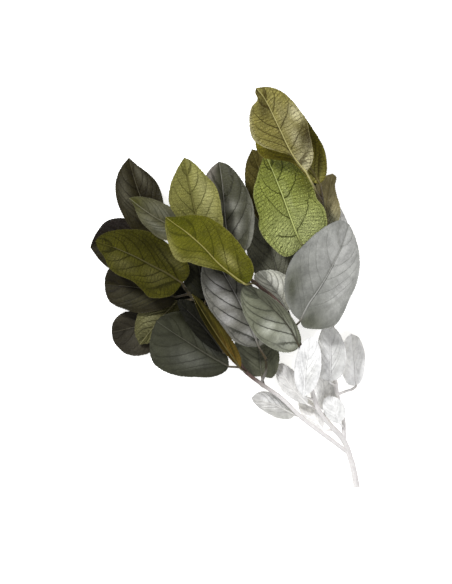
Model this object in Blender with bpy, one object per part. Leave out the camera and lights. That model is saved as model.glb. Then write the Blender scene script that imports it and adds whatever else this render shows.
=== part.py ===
"""A cut stem of preserved salal: one branched woody stem with its leathery leaves, lying down.

Every length is in millimetres. The tables give points on a plan of the stem as it lies, X to the
right and Y down from the plan's upper left corner, and heights above the table. The finished model
is moved so that the origin is at the middle of the foot of its box, with Y towards the leaf tips.
"""

import bisect
import math
from collections import namedtuple

import bmesh
import bpy
from mathutils import Vector

MM = 0.001
STEM_NODE = "woody_stem"
PLAN_MIDDLE = (227, 289)

PETIOLE_RADIUS = 1.0
JOINT_GAP = 0.35
MARGIN_THICKNESS = 0.7
MIDRIB_THICKNESS = 1.5
TIP_HALF_WIDTH = 0.5
TABLE_HEIGHT = 0.0

BLADE_STATIONS = (0.03, 0.09, 0.17, 0.27, 0.38, 0.50, 0.62, 0.74, 0.84, 0.93, 0.985)
BLADE_COLUMNS = (-1.0, -0.55, 0.0, 0.55, 1.0)
SAMPLES_PER_SPAN = 4

# Each tone is one material: its colour and its roughness.
TONES = {
    "khaki": ((0.27, 0.24, 0.09), 0.45),
    "bright_green": ((0.28, 0.32, 0.08), 0.42),
    "olive": ((0.16, 0.15, 0.02), 0.42),
    "dark_olive": ((0.08, 0.07, 0.01), 0.5),
    "black_green": ((0.022, 0.020, 0.010), 0.5),
    "deep_green": ((0.05, 0.055, 0.035), 0.55),
    "grey_green": ((0.16, 0.165, 0.13), 0.5),
    "silver": ((0.30, 0.31, 0.28), 0.55),
    "bleached": ((0.62, 0.62, 0.58), 0.6),
    "bark": ((0.22, 0.16, 0.13), 0.8),
}

# A branch is a list of (x, y, height, radius) from its foot to its tip.
BRANCHES = {
    "middle": [
        (358, 489, 3.2, 3.1), (353, 465, 5.5, 2.9), (345, 442, 10, 2.7), (332, 427, 16, 2.4),
        (319, 410, 23, 2.2), (310, 384, 30, 2.1), (303, 356, 36, 2.0), (293, 325, 40, 1.9),
        (277, 301, 43, 1.8), (260, 287, 45, 1.7), (245, 275, 45, 1.6), (229, 262, 44, 1.5), (206, 247, 41, 1.4),
    ],
    "left": [
        (348, 453, 7.5, 2.0), (328, 438, 12, 2.1), (303, 419, 16, 2.0), (281, 398, 19, 2.0),
        (261, 384, 21, 1.9), (245, 371, 23, 1.9), (230, 348, 24, 1.8), (216, 327, 25, 1.7),
        (202, 308, 25, 1.6), (187, 291, 24, 1.5), (176, 274, 22, 1.4), (168, 258, 20, 1.3), (162, 245, 18, 1.2),
    ],
    "right": [
        (345, 442, 10, 2.0), (344, 421, 14, 2.1), (338, 395, 18, 2.0), (334, 369, 22, 2.0),
        (333, 339, 25, 1.9), (332, 305, 28, 1.8), (329, 269, 31, 1.7), (327, 237, 33, 1.6), (323, 211, 35, 1.4),
        (322, 196, 37, 1.3),
    ],
    "right_inner": [(329, 269, 31, 1.4), (321, 259, 30, 1.4), (311, 250, 29, 1.3), (303, 248, 28, 1.1)],
    "left_inner": [(261, 384, 21, 1.4), (266, 371, 25, 1.3), (266, 359, 29, 1.2)],
    "far_right": [(338, 395, 18, 1.4), (346, 392, 17, 1.3), (353, 390, 16, 1.2)],
}

# A leaf's base and tip are (x, y, height). Its midrib, left edge and right edge are plan points
# between them, in order from the base. The left edge is on the left hand of someone who looks from
# the base to the tip. The blade rises from its midrib by fold degrees on both sides, and its left
# side rises and its right side sinks by tilt degrees more. The midrib arches up by bow. Its petiole
# starts lag nearer the branch's foot than the blade does, or at the branch's end where lag is 0.
Leaf = namedtuple("Leaf", "name tone branch base tip midrib left right fold tilt bow wave lag",
                  defaults=(10, 0, 5, 0.8, 5))

LEAVES = [
    # The right branch, from its tip down.
    Leaf("right_leaf_01", "khaki", "right", (306, 173, 56), (256, 89, 62),
         [(292, 155), (280, 131), (272, 114), (264, 99)],
         [(301, 169), (291, 157), (276, 152), (261, 147), (252, 139), (249, 123), (251, 109), (257, 101), (255, 94)],
         [(311, 165), (313, 157), (312, 148), (309, 135), (306, 122), (299, 111), (290, 100), (280, 92), (268, 88)],
         fold=14, bow=6),
    Leaf("right_leaf_02", "dark_olive", "right", (320, 184, 46), (276, 101, 44),
         [(309, 165), (298, 145), (286, 120)],
         [(311, 182), (302, 172), (291, 163), (275, 160), (263, 158), (256, 148), (256, 130), (264, 112)],
         [(325, 178), (327, 167), (325, 152), (320, 141), (312, 128), (303, 115), (291, 104)],
         fold=5, bow=4, lag=0),
    Leaf("right_leaf_03", "dark_olive", "right_inner", (285, 230, 17), (252, 148, 10),
         [(276, 210), (264, 180)],
         [(270, 228), (257, 217), (249, 200), (245, 181), (246, 163)],
         [(292, 216), (290, 200), (284, 180), (272, 162), (260, 151)], fold=7, bow=3, lag=0),
    Leaf("right_leaf_04", "bright_green", "right_inner", (303, 246, 37), (265, 152, 24),
         [(298, 236), (292, 221), (284, 199), (276, 178), (270, 164)],
         [(298, 250), (290, 256), (281, 255), (270, 245), (262, 235), (258.5, 225), (259, 216), (256, 208),
          (253.5, 198), (254, 188), (257, 177), (261, 163)],
         [(307, 242), (314, 235), (322, 230), (327, 225), (326, 214), (323, 206), (317, 199), (314, 189),
          (307, 176), (296, 165), (280, 156)],
         fold=6, bow=7),
    Leaf("right_leaf_05", "dark_olive", "right", (329, 236, 25), (333, 173, 22),
         [(328, 205)],
         [(317, 227), (313, 207), (314, 189), (323, 177)],
         [(337, 226), (341, 211), (338, 197), (335.5, 186), (337, 177)], fold=6, tilt=4, bow=3),
    Leaf("right_leaf_06", "silver", "right", (339, 290, 16), (334, 197, 8),
         [(338, 245)],
         [(322, 278), (316, 255), (318, 230), (325, 208)],
         [(352, 279), (357, 258), (354, 238), (348, 221), (341, 206)], fold=5, bow=3),
    Leaf("right_leaf_07", "silver", "middle", (300, 321, 52), (349, 225, 58),
         [(309, 303), (322, 284), (333, 264), (342, 246)],
         [(292, 313), (286, 301), (284, 287), (286, 272), (292, 258), (303, 245.5), (315, 234), (328, 225), (340, 220.5)],
         [(303, 327), (312, 329), (324, 329), (335, 325), (343, 313), (349, 299), (356, 283), (359, 266), (358, 250),
          (354, 236)],
         fold=5, bow=6),
    Leaf("right_leaf_08", "bleached", "far_right", (357, 387, 15), (352, 334, 9),
         [(355, 360)],
         [(348, 384), (342, 370), (342, 354), (346, 340)],
         [(363, 380), (366, 365), (365, 350), (360, 338)], fold=7, bow=3, lag=0),
    Leaf("right_leaf_09", "bleached", "right", (330, 382, 31), (328, 322, 38),
         [(331, 352)],
         [(321, 377), (317, 362), (317, 346), (321, 331)],
         [(341, 377), (346, 362), (345, 346), (338, 331)], fold=7, bow=3),
    Leaf("right_leaf_10", "black_green", "right", (324, 302, 14), (298, 237, -4),
         [(312, 270)],
         [(308, 300), (296, 284), (289, 264), (291, 247)],
         [(330, 285), (330, 264), (321, 247), (309, 238)], fold=3, bow=1),
    Leaf("right_leaf_11", "black_green", "right_inner", (303, 236, 15), (305, 152, -4),
         [(304, 194)],
         [(295, 225), (291, 205), (291, 182), (296, 163)],
         [(313, 226), (320, 205), (321, 182), (315, 163)], fold=3, bow=1),
    # The middle branch.
    Leaf("middle_leaf_01", "olive", "middle", (204, 243, 50), (184.5, 158, 54),
         [(197, 218), (193, 200), (189, 181)],
         [(192, 236), (178, 219), (170, 206), (169, 196), (171, 184), (176, 172), (181, 163)],
         [(216, 240), (223, 226), (221.5, 210), (219, 195), (214, 184), (207, 177), (199, 168), (191, 161)],
         fold=14, bow=4),
    Leaf("middle_leaf_02", "grey_green", "middle", (233, 255, 35), (219, 161.5, 37),
         [(227, 232), (224.5, 210), (223, 188)],
         [(222, 250), (212, 235), (206, 215), (203, 195), (205, 178), (211, 168)],
         [(244, 252), (251, 243), (254, 228), (254, 211), (250, 196), (243, 182), (235, 171), (227, 164)],
         fold=15, bow=4, wave=1.0),
    Leaf("middle_leaf_03", "olive", "middle", (246, 284.5, 66), (166, 217.5, 69),
         [(236, 278), (219, 264), (205, 249), (190, 235), (176, 225)],
         [(238, 282), (226, 273), (212, 269), (198, 265.5), (189, 262.5), (183, 262.5), (176, 259), (170, 248),
          (167, 236), (165.5, 226)],
         [(251, 280), (253.5, 273), (252, 263), (245, 252), (238, 242), (229, 232), (222, 226), (213, 220),
          (204, 216.5), (192, 215.5), (179, 217)],
         fold=7, bow=5),
    Leaf("middle_leaf_04", "grey_green", "middle", (184, 233, 42), (129, 198, 44),
         [(172, 226), (158, 219), (143, 209)],
         [(177, 240), (168, 241), (159, 238), (150, 231), (142, 223), (137, 214), (134, 206)],
         [(184, 222), (176, 212), (167, 205), (156, 200), (146, 197.5), (137, 196.5)], fold=9, bow=3, lag=0),
    Leaf("middle_leaf_05", "grey_green", "left_inner", (259, 347, 34), (215, 258, 32),
         [(249, 322), (236, 295)],
         [(251, 347), (242, 345), (231, 339), (221, 329), (212.5, 315), (207.5, 304), (203, 292), (201, 280),
          (202, 268), (207, 260)],
         [(266, 341), (268, 325), (262, 305), (252, 285), (239, 267), (226, 257)], fold=8, bow=3, wave=1.2, lag=0),
    Leaf("middle_leaf_06", "silver", "middle", (299, 346, 44), (243, 286, 52),
         [(291, 330), (278, 314), (262, 300), (251, 291)],
         [(296, 350), (288, 352.5), (278, 351), (268, 346), (257, 337), (249, 325), (243, 312), (240.5, 299), (241, 291)],
         [(301, 339), (297, 326), (289, 314), (279, 303), (267, 294), (254, 287)],
         fold=22, tilt=-14, bow=5, wave=1.2),
    Leaf("middle_leaf_07", "grey_green", "middle", (287, 312, 36), (259, 271, 36),
         [(276, 291)],
         [(277, 309), (266, 298), (257, 286), (254, 276)],
         [(296, 304), (297, 289), (287, 276), (273, 270)], fold=5, bow=2),
    Leaf("middle_leaf_08", "deep_green", "middle", (284, 299, 25), (254, 211, 6),
         [(272, 253)],
         [(269, 294), (256, 276), (247, 252), (247, 228)],
         [(295, 281), (296, 258), (287, 235), (270, 217)], fold=4, bow=2, lag=30),
    Leaf("middle_leaf_09", "black_green", "middle", (217, 245, 23), (221, 177, -5),
         [(217, 211)],
         [(205, 240), (196, 222), (197, 203), (207, 186)],
         [(229, 240), (239, 222), (240, 203), (233, 186)], fold=3, bow=1),
    # The left branch.
    Leaf("left_leaf_01", "black_green", "left", (156, 235, 20), (128.5, 157, 22),
         [(147, 212), (139, 193), (133, 175)],
         [(145, 237), (131, 228), (121, 212), (116, 198), (115, 184), (118, 172), (123, 163.5)],
         [(163, 226), (164, 208), (161, 192), (156, 181), (147, 172), (137, 164.5)], fold=12, bow=4, lag=0),
    Leaf("left_leaf_02", "black_green", "left", (155, 243, 9), (89, 247, 1),
         [(122, 243)],
         [(149, 256), (137, 267), (121, 271), (108, 268), (99, 260.5), (93, 253)],
         [(149, 232), (139, 224), (125, 218), (112, 218), (103, 222), (96, 231), (91, 240)], fold=4, bow=2),
    Leaf("left_leaf_03", "dark_olive", "left", (182, 283, 35), (95, 241, 30),
         [(165, 272), (149, 264), (134, 256), (116, 248)],
         [(178, 289), (171, 295.5), (160, 298), (149, 297), (141, 289), (132, 281), (118, 275), (109, 268),
          (104, 257), (98, 249)],
         [(187, 278), (189.5, 271), (187, 262), (178, 252), (165, 241), (152, 232.5), (137, 229.5), (120, 229.5),
          (107, 232), (98, 237)],
         fold=7, bow=7),
    Leaf("left_leaf_04", "black_green", "left", (176, 297, 20), (103.5, 284, 9),
         [(140, 288)],
         [(170, 306), (155, 311), (138, 313), (122, 308.5), (110, 303), (105, 294)],
         [(172, 285), (158, 272), (140, 265), (121, 264), (109, 268), (104.5, 276)], fold=5, bow=3),
    Leaf("left_leaf_05", "black_green", "left", (171, 314, 8), (110.5, 333, -3),
         [(142, 325)],
         [(170, 329), (163, 343), (152, 352), (138, 356.5), (125, 354.5), (117, 348), (112, 341)],
         [(164, 306), (155, 306), (146, 308), (134, 310.5), (123, 312.5), (115, 318), (111, 325)], fold=2, bow=1, lag=22),
    Leaf("left_leaf_06", "olive", "left", (177, 301, 14), (139, 345, 8),
         [(160, 319)],
         [(179, 309), (174, 319), (167, 328), (159, 337), (150, 343)],
         [(170, 297), (159, 299), (146, 306.5), (138, 313), (134.5, 324), (134.5, 335)], fold=5, bow=3, lag=9),
    Leaf("left_leaf_07", "deep_green", "left", (229, 367, 17), (156, 321, 27),
         [(211, 357), (192, 345), (172, 332)],
         [(224, 373), (212, 377.5), (196, 377.5), (180, 376.5), (165, 372), (153, 363), (149.5, 349), (151, 334)],
         [(228, 358), (222, 345), (211, 330), (198, 318), (184, 312), (172, 312.5), (162, 316)],
         fold=3, tilt=5, bow=3, wave=1.0),
    Leaf("left_leaf_08", "black_green", "left", (224, 353, 27), (177, 300, 33),
         [(202, 325)],
         [(214, 350), (200, 340), (188, 325), (179, 309)],
         [(226, 344), (218, 328), (204, 311), (188, 300)], fold=10, bow=3),
    Leaf("left_leaf_09", "olive", "left", (241, 369, 33), (192, 294, 41),
         [(230, 354), (219, 338), (207, 319)],
         [(233, 362), (223, 350), (213, 336), (203, 320), (196, 305)],
         [(241, 358), (234, 343), (225, 330), (213, 314), (201, 300)], fold=32, tilt=32, bow=5),
    Leaf("left_leaf_10", "black_green", "left", (206, 299, 30), (194, 245, 26),
         [(200, 272)],
         [(194, 296), (184, 283), (181, 265), (186, 252)],
         [(212, 290), (214, 275), (209, 258), (202, 248)], fold=5, bow=2),
    Leaf("left_leaf_11", "deep_green", "left", (262, 377, 15), (255, 320, 12),
         [(259, 349)],
         [(249, 376), (239, 364), (234, 350), (239, 332)],
         [(273, 378), (279, 366), (279, 350), (271, 333)], fold=4, bow=2),
    Leaf("left_leaf_12", "black_green", "left", (223, 347, 9), (203, 287, -4),
         [(213, 317)],
         [(207, 345), (190, 334), (176, 317), (170.5, 300), (174, 286), (187, 282)],
         [(233, 335), (235, 318), (228, 300), (215, 290)], fold=2, bow=1),
    # The leaves low on the stem.
    Leaf("low_leaf_01", "bleached", "left", (296, 416, 11), (251.5, 399, -2),
         [(275, 406)],
         [(290, 420), (277, 419), (264, 412), (255, 405)],
         [(293, 408), (283, 398), (269, 392.5), (258, 393.5)], fold=5, bow=2),
    Leaf("low_leaf_02", "bleached", "middle", (304, 397, 36), (312, 336, 46),
         [(306, 367)],
         [(297, 388), (294, 372), (297, 354), (304, 341)],
         [(313, 390), (320, 374), (321, 356), (318, 343)], fold=8, bow=3),
    Leaf("low_leaf_03", "bleached", "middle", (325, 412, 12), (322, 364, 4),
         [(325, 388)],
         [(317, 405), (313, 391), (313, 378), (317, 368)],
         [(334, 404), (338, 391), (336, 378), (329, 368)], fold=9, bow=2),
    Leaf("low_leaf_04", "bleached", "middle", (308, 405, 16), (277, 365, 8),
         [(292, 387)],
         [(299, 403), (285, 394), (278, 382), (276, 371)],
         [(308, 396), (304, 383), (295, 372), (284, 364)], fold=8, bow=2),
    Leaf("low_leaf_05", "bleached", "right", (340, 424, 22), (330, 396, 22),
         [(336, 410)],
         [(332, 422), (325, 414), (323, 406), (325, 399)],
         [(346, 416), (344, 405), (337, 398)], fold=8, bow=2),
    Leaf("low_leaf_06", "bleached", "middle", (324, 431, 8), (299, 399, -2),
         [(312, 415)],
         [(316, 431), (306, 422), (300, 411)],
         [(325, 420), (319, 408), (309, 400)], fold=5, bow=1),
]


def scene_collections():
    """Empties the scene and returns the collection for the parts."""
    for other in list(bpy.data.objects):
        bpy.data.objects.remove(other)
    parts = bpy.data.collections.new("preserved_salal_stem")
    bpy.context.scene.collection.children.link(parts)
    return parts


def tone_material(tone):
    """The Principled material of one tone, made once."""
    name = tone if tone == "bark" else "leaf_" + tone
    known = bpy.data.materials.get(name)
    if known:
        return known
    colour, roughness = TONES[tone]
    material = bpy.data.materials.new(name)
    material.use_nodes = True
    shader = material.node_tree.nodes["Principled BSDF"]
    shader.inputs["Base Color"].default_value = (*colour, 1.0)
    shader.inputs["Roughness"].default_value = roughness
    shader.inputs["Metallic"].default_value = 0.0
    return material


def from_plan(x, y, *height):
    """A plan point, with its height if it has one, in the model's directions."""
    return Vector((x - PLAN_MIDDLE[0], PLAN_MIDDLE[1] - y, *height))


def smooth_line(rows):
    """A Catmull-Rom curve through the rows, as a list of points close together."""
    rows = [rows[0] * 2 - rows[1]] + rows + [rows[-1] * 2 - rows[-2]]
    curve = []
    for i in range(1, len(rows) - 2):
        p0, p1, p2, p3 = rows[i - 1:i + 3]
        for k in range(SAMPLES_PER_SPAN):
            t = k / SAMPLES_PER_SPAN
            curve.append(
                0.5 * (2 * p1 + (p2 - p0) * t + (2 * p0 - 5 * p1 + 4 * p2 - p3) * t * t
                       + (3 * p1 - p0 - 3 * p2 + p3) * t * t * t)
            )
    curve.append(rows[-2])
    return curve


def smooth_branch(points):
    """A branch's centreline, as (centre, radius) pairs close together."""
    rows = [Vector((*from_plan(x, y, height), radius)) for x, y, height, radius in points]
    return [(row.to_3d(), row[3]) for row in smooth_line(rows)]


class PlanLine:
    """A smooth line on the plan, read by the share of its length."""

    def __init__(self, points):
        self.points = smooth_line([from_plan(*point[:2]) for point in points])
        self.walked = [0.0]
        for here, ahead in zip(self.points, self.points[1:]):
            self.walked.append(self.walked[-1] + (ahead - here).length)

    def at(self, share):
        goal = share * self.walked[-1]
        k = min(max(bisect.bisect_right(self.walked, goal), 1), len(self.points) - 1)
        step = self.walked[k] - self.walked[k - 1]
        return self.points[k - 1].lerp(self.points[k], (goal - self.walked[k - 1]) / step)


class Blade:
    """A leaf's blade as a surface: u runs from its base to its tip and v from its left to its right."""

    def __init__(self, leaf):
        self.leaf = leaf
        self.base = from_plan(*leaf.base)
        self.rib = PlanLine([leaf.base, *leaf.midrib, leaf.tip])
        self.edges = {
            -1: PlanLine([leaf.base, *leaf.left, leaf.tip]),
            1: PlanLine([leaf.base, *leaf.right, leaf.tip]),
        }

    def midrib(self, u):
        base, tip = self.leaf.base[2], self.leaf.tip[2]
        return Vector((*self.rib.at(u), base + (tip - base) * u + self.leaf.bow * 4 * u * (1 - u)))

    def along(self, u):
        return (self.midrib(min(u + 0.02, 1)) - self.midrib(max(u - 0.02, 0))).normalized()

    def point(self, u, v):
        """A point on the middle of the blade's thickness."""
        leaf = self.leaf
        side = -1 if v < 0 else 1
        centre = self.midrib(u)
        out = self.edges[side].at(u) - centre.to_2d()
        ahead = self.along(u)
        square = Vector((ahead.y, -ahead.x)).normalized() * side
        short = TIP_HALF_WIDTH - out.dot(square)
        if short > 0:
            out += square * short
        slope = math.tan(math.radians(leaf.fold - side * leaf.tilt))
        swell = leaf.wave * v * v * math.sin(2 * math.pi * (2.5 * u + 0.25 * side)) * min(1, 4 * u, 4 * (1 - u))
        return centre + Vector((*(out * abs(v)), out.length * abs(v) * slope + swell))

    def face(self, u, v):
        """The direction out of the blade's upper face."""
        along = self.point(min(u + 0.01, 1), v) - self.point(u - 0.01, v)
        across = self.point(u, min(v + 0.05, 1)) - self.point(u, max(v - 0.05, -1))
        return across.cross(along).normalized()


def blade_ring(blade, u):
    """The blade's closed section at u: its upper points from left to right, then its lower ones back."""
    upper, lower = [], []
    for v in BLADE_COLUMNS:
        point, normal = blade.point(u, v), blade.face(u, v)
        thickness = MARGIN_THICKNESS + (MIDRIB_THICKNESS - MARGIN_THICKNESS) * (1 - abs(v)) ** 2 * (1 - u)
        below = point - normal * (thickness - MARGIN_THICKNESS / 2)
        above = point + normal * (MARGIN_THICKNESS / 2)
        pressed = max(0.0, TABLE_HEIGHT - min(above.z, below.z))
        upper.append(above + Vector((0, 0, pressed)))
        lower.append(below + Vector((0, 0, pressed)))
    return upper + lower[::-1]


def attachment(branch, blade_base, lag):
    """The direction of a petiole from the branch's centreline, and its start just clear of the bark."""
    last = len(branch) - 1
    terminal = lag == 0
    nearest = last if terminal else min(range(last + 1), key=lambda i: (branch[i][0] - blade_base).length)
    walked = 0.0
    while nearest > 0 and walked < lag:
        walked += (branch[nearest][0] - branch[nearest - 1][0]).length
        nearest -= 1
    ahead = branch[min(nearest + 1, last)][0]
    behind = branch[max(nearest - 1, 0)][0]
    axis = (ahead - behind).normalized()
    root, radius = branch[nearest]
    toward = (blade_base - root).normalized()
    lean = abs(toward.dot(axis))
    slope = math.sqrt(max(0.0, 1 - lean * lean))
    if terminal:
        clear = JOINT_GAP + (radius + PETIOLE_RADIUS) * slope
    else:
        clear = (radius + JOINT_GAP + PETIOLE_RADIUS * lean) / max(0.45, slope)
    return toward, root + toward * clear


def petiole_rings(blade, branch):
    """Round sections from just clear of the branch to the blade's base."""
    base, along = blade.base, blade.along(0)
    up = blade.face(0.03, 0)
    toward, start = attachment(branch, base, blade.leaf.lag)
    rings = []
    for t in (0.0, 0.5, 1.0):
        centre = start.lerp(base, t)
        direction = toward.lerp(along, t).normalized()
        across = direction.cross(up).normalized()
        out = across.cross(direction)
        ring = []
        for k in range(2 * len(BLADE_COLUMNS)):
            angle = math.radians(162 - 36 * k)
            ring.append(centre + (across * math.cos(angle) + out * math.sin(angle)) * PETIOLE_RADIUS)
        rings.append(ring)
    return rings


def skin(rings, name):
    """A closed mesh over the rings. Its quads are split alike above and below, so no faces cross."""
    mesh = bmesh.new()
    rows = [[mesh.verts.new(point * MM) for point in ring] for ring in rings]
    count = len(rings[0])
    for here, ahead in zip(rows, rows[1:]):
        for j in range(count):
            k = (j + 1) % count
            if j < count // 2:
                mesh.faces.new((here[j], here[k], ahead[k]))
                mesh.faces.new((here[j], ahead[k], ahead[j]))
            else:
                mesh.faces.new((here[j], here[k], ahead[j]))
                mesh.faces.new((here[k], ahead[k], ahead[j]))
    for row in (rows[0], rows[-1]):
        for j in range(count // 2 - 1):
            k = count - 1 - j
            mesh.faces.new((row[j], row[j + 1], row[k - 1]))
            mesh.faces.new((row[j], row[k - 1], row[k]))
    bmesh.ops.recalc_face_normals(mesh, faces=mesh.faces)
    if mesh.calc_volume(signed=True) < 0:
        bmesh.ops.reverse_faces(mesh, faces=mesh.faces)
    data = bpy.data.meshes.new(name)
    mesh.to_mesh(data)
    mesh.free()
    data.shade_smooth()
    return data


def make_leaf(leaf, branches, parts):
    """One leaf: its petiole and blade in one solid."""
    blade = Blade(leaf)
    rings = petiole_rings(blade, branches[leaf.branch]) + [blade_ring(blade, u) for u in BLADE_STATIONS]
    made = bpy.data.objects.new(leaf.name, skin(rings, leaf.name))
    made.data.materials.append(tone_material(leaf.tone))
    parts.objects.link(made)
    return made


def branch_tube(name, curve, holder):
    """One branch as a round tapering tube, made a closed mesh."""
    data = bpy.data.curves.new(name, "CURVE")
    data.dimensions = "3D"
    data.bevel_depth = MM
    data.bevel_resolution = 2
    data.use_fill_caps = True
    spline = data.splines.new("POLY")
    spline.points.add(len(curve) - 1)
    for point, (centre, radius) in zip(spline.points, curve):
        point.co = (*(centre * MM), 1.0)
        point.radius = radius
    drawn = bpy.data.objects.new(name, data)
    holder.objects.link(drawn)
    graph = bpy.context.evaluated_depsgraph_get()
    mesh = bpy.data.meshes.new_from_object(drawn.evaluated_get(graph))
    tube = bpy.data.objects.new(name + "_tube", mesh)
    tube.matrix_world = drawn.matrix_world
    holder.objects.link(tube)
    bpy.data.objects.remove(drawn)
    welded = bmesh.new()
    welded.from_mesh(mesh)
    bmesh.ops.remove_doubles(welded, verts=welded.verts, dist=0.00001)
    bmesh.ops.recalc_face_normals(welded, faces=welded.faces)
    welded.to_mesh(mesh)
    welded.free()
    return tube


def make_stem(branches, parts):
    """The woody stem: the middle branch with the others joined to it in one solid."""
    holder = bpy.data.collections.new("branches_to_join")
    bpy.context.scene.collection.children.link(holder)
    tubes = [branch_tube(name, curve, holder) for name, curve in branches.items()]
    stem = tubes[0]
    holder.objects.unlink(stem)
    parts.objects.link(stem)
    stem.name = STEM_NODE
    union = stem.modifiers.new("join_branches", "BOOLEAN")
    union.operation = "UNION"
    union.operand_type = "COLLECTION"
    union.collection = holder
    union.solver = "EXACT"
    graph = bpy.context.evaluated_depsgraph_get()
    joined = bpy.data.meshes.new_from_object(stem.evaluated_get(graph))
    stem.modifiers.clear()
    stem.data = joined
    for tube in list(holder.objects):
        bpy.data.objects.remove(tube)
    bpy.data.collections.remove(holder)
    stem.data.materials.clear()
    stem.data.materials.append(tone_material("bark"))
    stem.data.shade_smooth()
    return stem


def centre_on_table(objects):
    """Moves the model so that the origin is at the middle of the foot of its box."""
    corners = [vertex.co for made in objects for vertex in made.data.vertices]
    low = Vector([min(c[i] for c in corners) for i in range(3)])
    high = Vector([max(c[i] for c in corners) for i in range(3)])
    middle = Vector(((low.x + high.x) / 2, (low.y + high.y) / 2, low.z))
    for made in objects:
        for vertex in made.data.vertices:
            vertex.co -= middle


def main():
    parts = scene_collections()
    branches = {name: smooth_branch(points) for name, points in BRANCHES.items()}
    made = [make_stem(branches, parts)]
    made += [make_leaf(leaf, branches, parts) for leaf in LEAVES]
    centre_on_table(made)


main()
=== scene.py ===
"""A cut stem of preserved salal, lying down: leathery veined leaves on a branched woody stem.

The tables give points on a plan of the stem in millimetres, X to the right and Y down from the
plan's upper left corner, and heights above the table. One unit of the plan is one pixel of a
452 x 584 picture taken from straight above. Every leaf and the stem replace a node of the frame,
and follow its shape in finer detail.
"""

from collections import namedtuple

import bpy
import numpy as np
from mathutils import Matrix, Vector


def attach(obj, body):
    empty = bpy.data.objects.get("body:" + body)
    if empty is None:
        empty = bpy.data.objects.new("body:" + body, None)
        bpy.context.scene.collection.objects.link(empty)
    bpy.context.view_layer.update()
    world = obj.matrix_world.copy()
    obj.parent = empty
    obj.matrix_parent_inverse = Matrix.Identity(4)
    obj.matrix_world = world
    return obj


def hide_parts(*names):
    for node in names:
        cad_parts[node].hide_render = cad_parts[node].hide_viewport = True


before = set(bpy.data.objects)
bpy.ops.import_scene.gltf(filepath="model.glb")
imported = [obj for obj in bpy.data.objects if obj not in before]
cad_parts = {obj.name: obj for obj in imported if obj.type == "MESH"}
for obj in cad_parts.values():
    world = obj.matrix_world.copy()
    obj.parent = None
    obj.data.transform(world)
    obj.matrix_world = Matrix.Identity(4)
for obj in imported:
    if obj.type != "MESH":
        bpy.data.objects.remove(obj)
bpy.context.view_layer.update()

MM = 0.001
PLAN_MIDDLE = (227, 289)
BOX_MIDDLE = (0.675, 0.22)
PICTURE = (452, 584)

# The camera looks straight down from far away, with the plan at this height filling the picture.
CAMERA_HEIGHT = 4000
SHARP_HEIGHT = 40
SENSOR_WIDTH = 36

# How bright a level white surface is under the scene's light, how much of it a leaf's sheen adds, and the
# darkest and palest that a material gets.
LIGHT = 1.35
GLOSS = 0.055
DARKEST = 0.001
PALEST = 0.9

# The blade: how far apart its mesh points are, how thick it is, and the depth of its relief.
POINT_SPACING = 0.8
BLADE_THICKNESS = 0.55
TIP_HALF_WIDTH = 0.5
RIB_ROUNDING = 0.8
RIB_GROOVE = 1.1
GROOVE_REACH = 2.6
MARGIN_ROLL = 0.7
ROLL_HEIGHT = 0.3
TOOTH_PITCH = 2.6
TOOTH_DEPTH = 0.35
SAMPLES_PER_SPAN = 12
TABLE_GAP = 0.02

# The petiole, and how far under the blade it runs at these shares of the midrib.
PETIOLE_RADIUS = 1.05
PETIOLE_SIDES = 12
PETIOLE_SPACING = 1.2
UNDER_SHARES = (0.04, 0.1, 0.2, 0.35, 0.55, 0.8)
UNDER_DEPTHS = (0.8, 0.75, 0.6, 0.45, 0.35, 0.3)

# The bark: how many sides its tubes have, how far apart their rings are, and what stands out from it.
BARK_SIDES = 22
BARK_SPACING = 1.1
BASE_SWELLING = 0.35
FIRST_KNOT = 9
KNOT_PITCH = 17
KNOT_SWELLING = 0.18
MOST_SWELLING = 0.6

# The bark is near white within the first distance of the cut end, and has its colour beyond the second.
WHITE_WITHIN = 120
COLOURED_BEYOND = 152

# The bark's colours, and the petiole's: red, green and blue from 0 to 255, as they look in the light. A
# leaf whose body has no colour below PALE_LEAF has the pale petiole.
OLD_BARK = ((80, 62, 57), (130, 108, 102))
BARK_CLOUD = (104, 88, 70)
YOUNG_BARK = ((44, 40, 24), (78, 71, 46))
WHITE_END_BARK = ((222, 217, 216), (246, 244, 243))
PORES = (170, 156, 142)
CUT_WOOD = ((232, 224, 206), (206, 192, 168))
PITH = (176, 156, 132)
# The near-white bark's colours are divided by this share of the light, which paints them paler: painted
# light.
WHITE_END_LIT = 0.9
BROWN_PETIOLE = (82, 70, 46)
PALE_PETIOLE = (230, 225, 222)
PALE_LEAF = 190

# The blade's material: how wide the ribs and veins fade out, in millimetres from their middle, how dense
# the nets of fine veins are, how far apart its fine rungs stand, and how far the painted shade beside a
# vein reaches.
RIB_EDGE = (0.25, 0.85)
VEIN_EDGE = (0.2, 0.85)
NET_SCALE = 0.44
FINE_SCALE = 0.95
RUNG_PITCH = 3.2
SHADE_REACH = 2.6

# The studio: half the floor's width, how much the floor glows, and how bright the sky is.
FLOOR_HALF = 6000
FLOOR_GLOW = 0.6
SKY_STRENGTH = 0.48

# Where the side veins leave the midrib, as shares of its length, and how far forward they arch.
SIDE_VEINS = (0.03, 0.13, 0.26, 0.42, 0.60, 0.78)
VEIN_RISE = 0.52
VEIN_JITTER = 0.035
VEIN_STAGGER = 0.012

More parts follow.
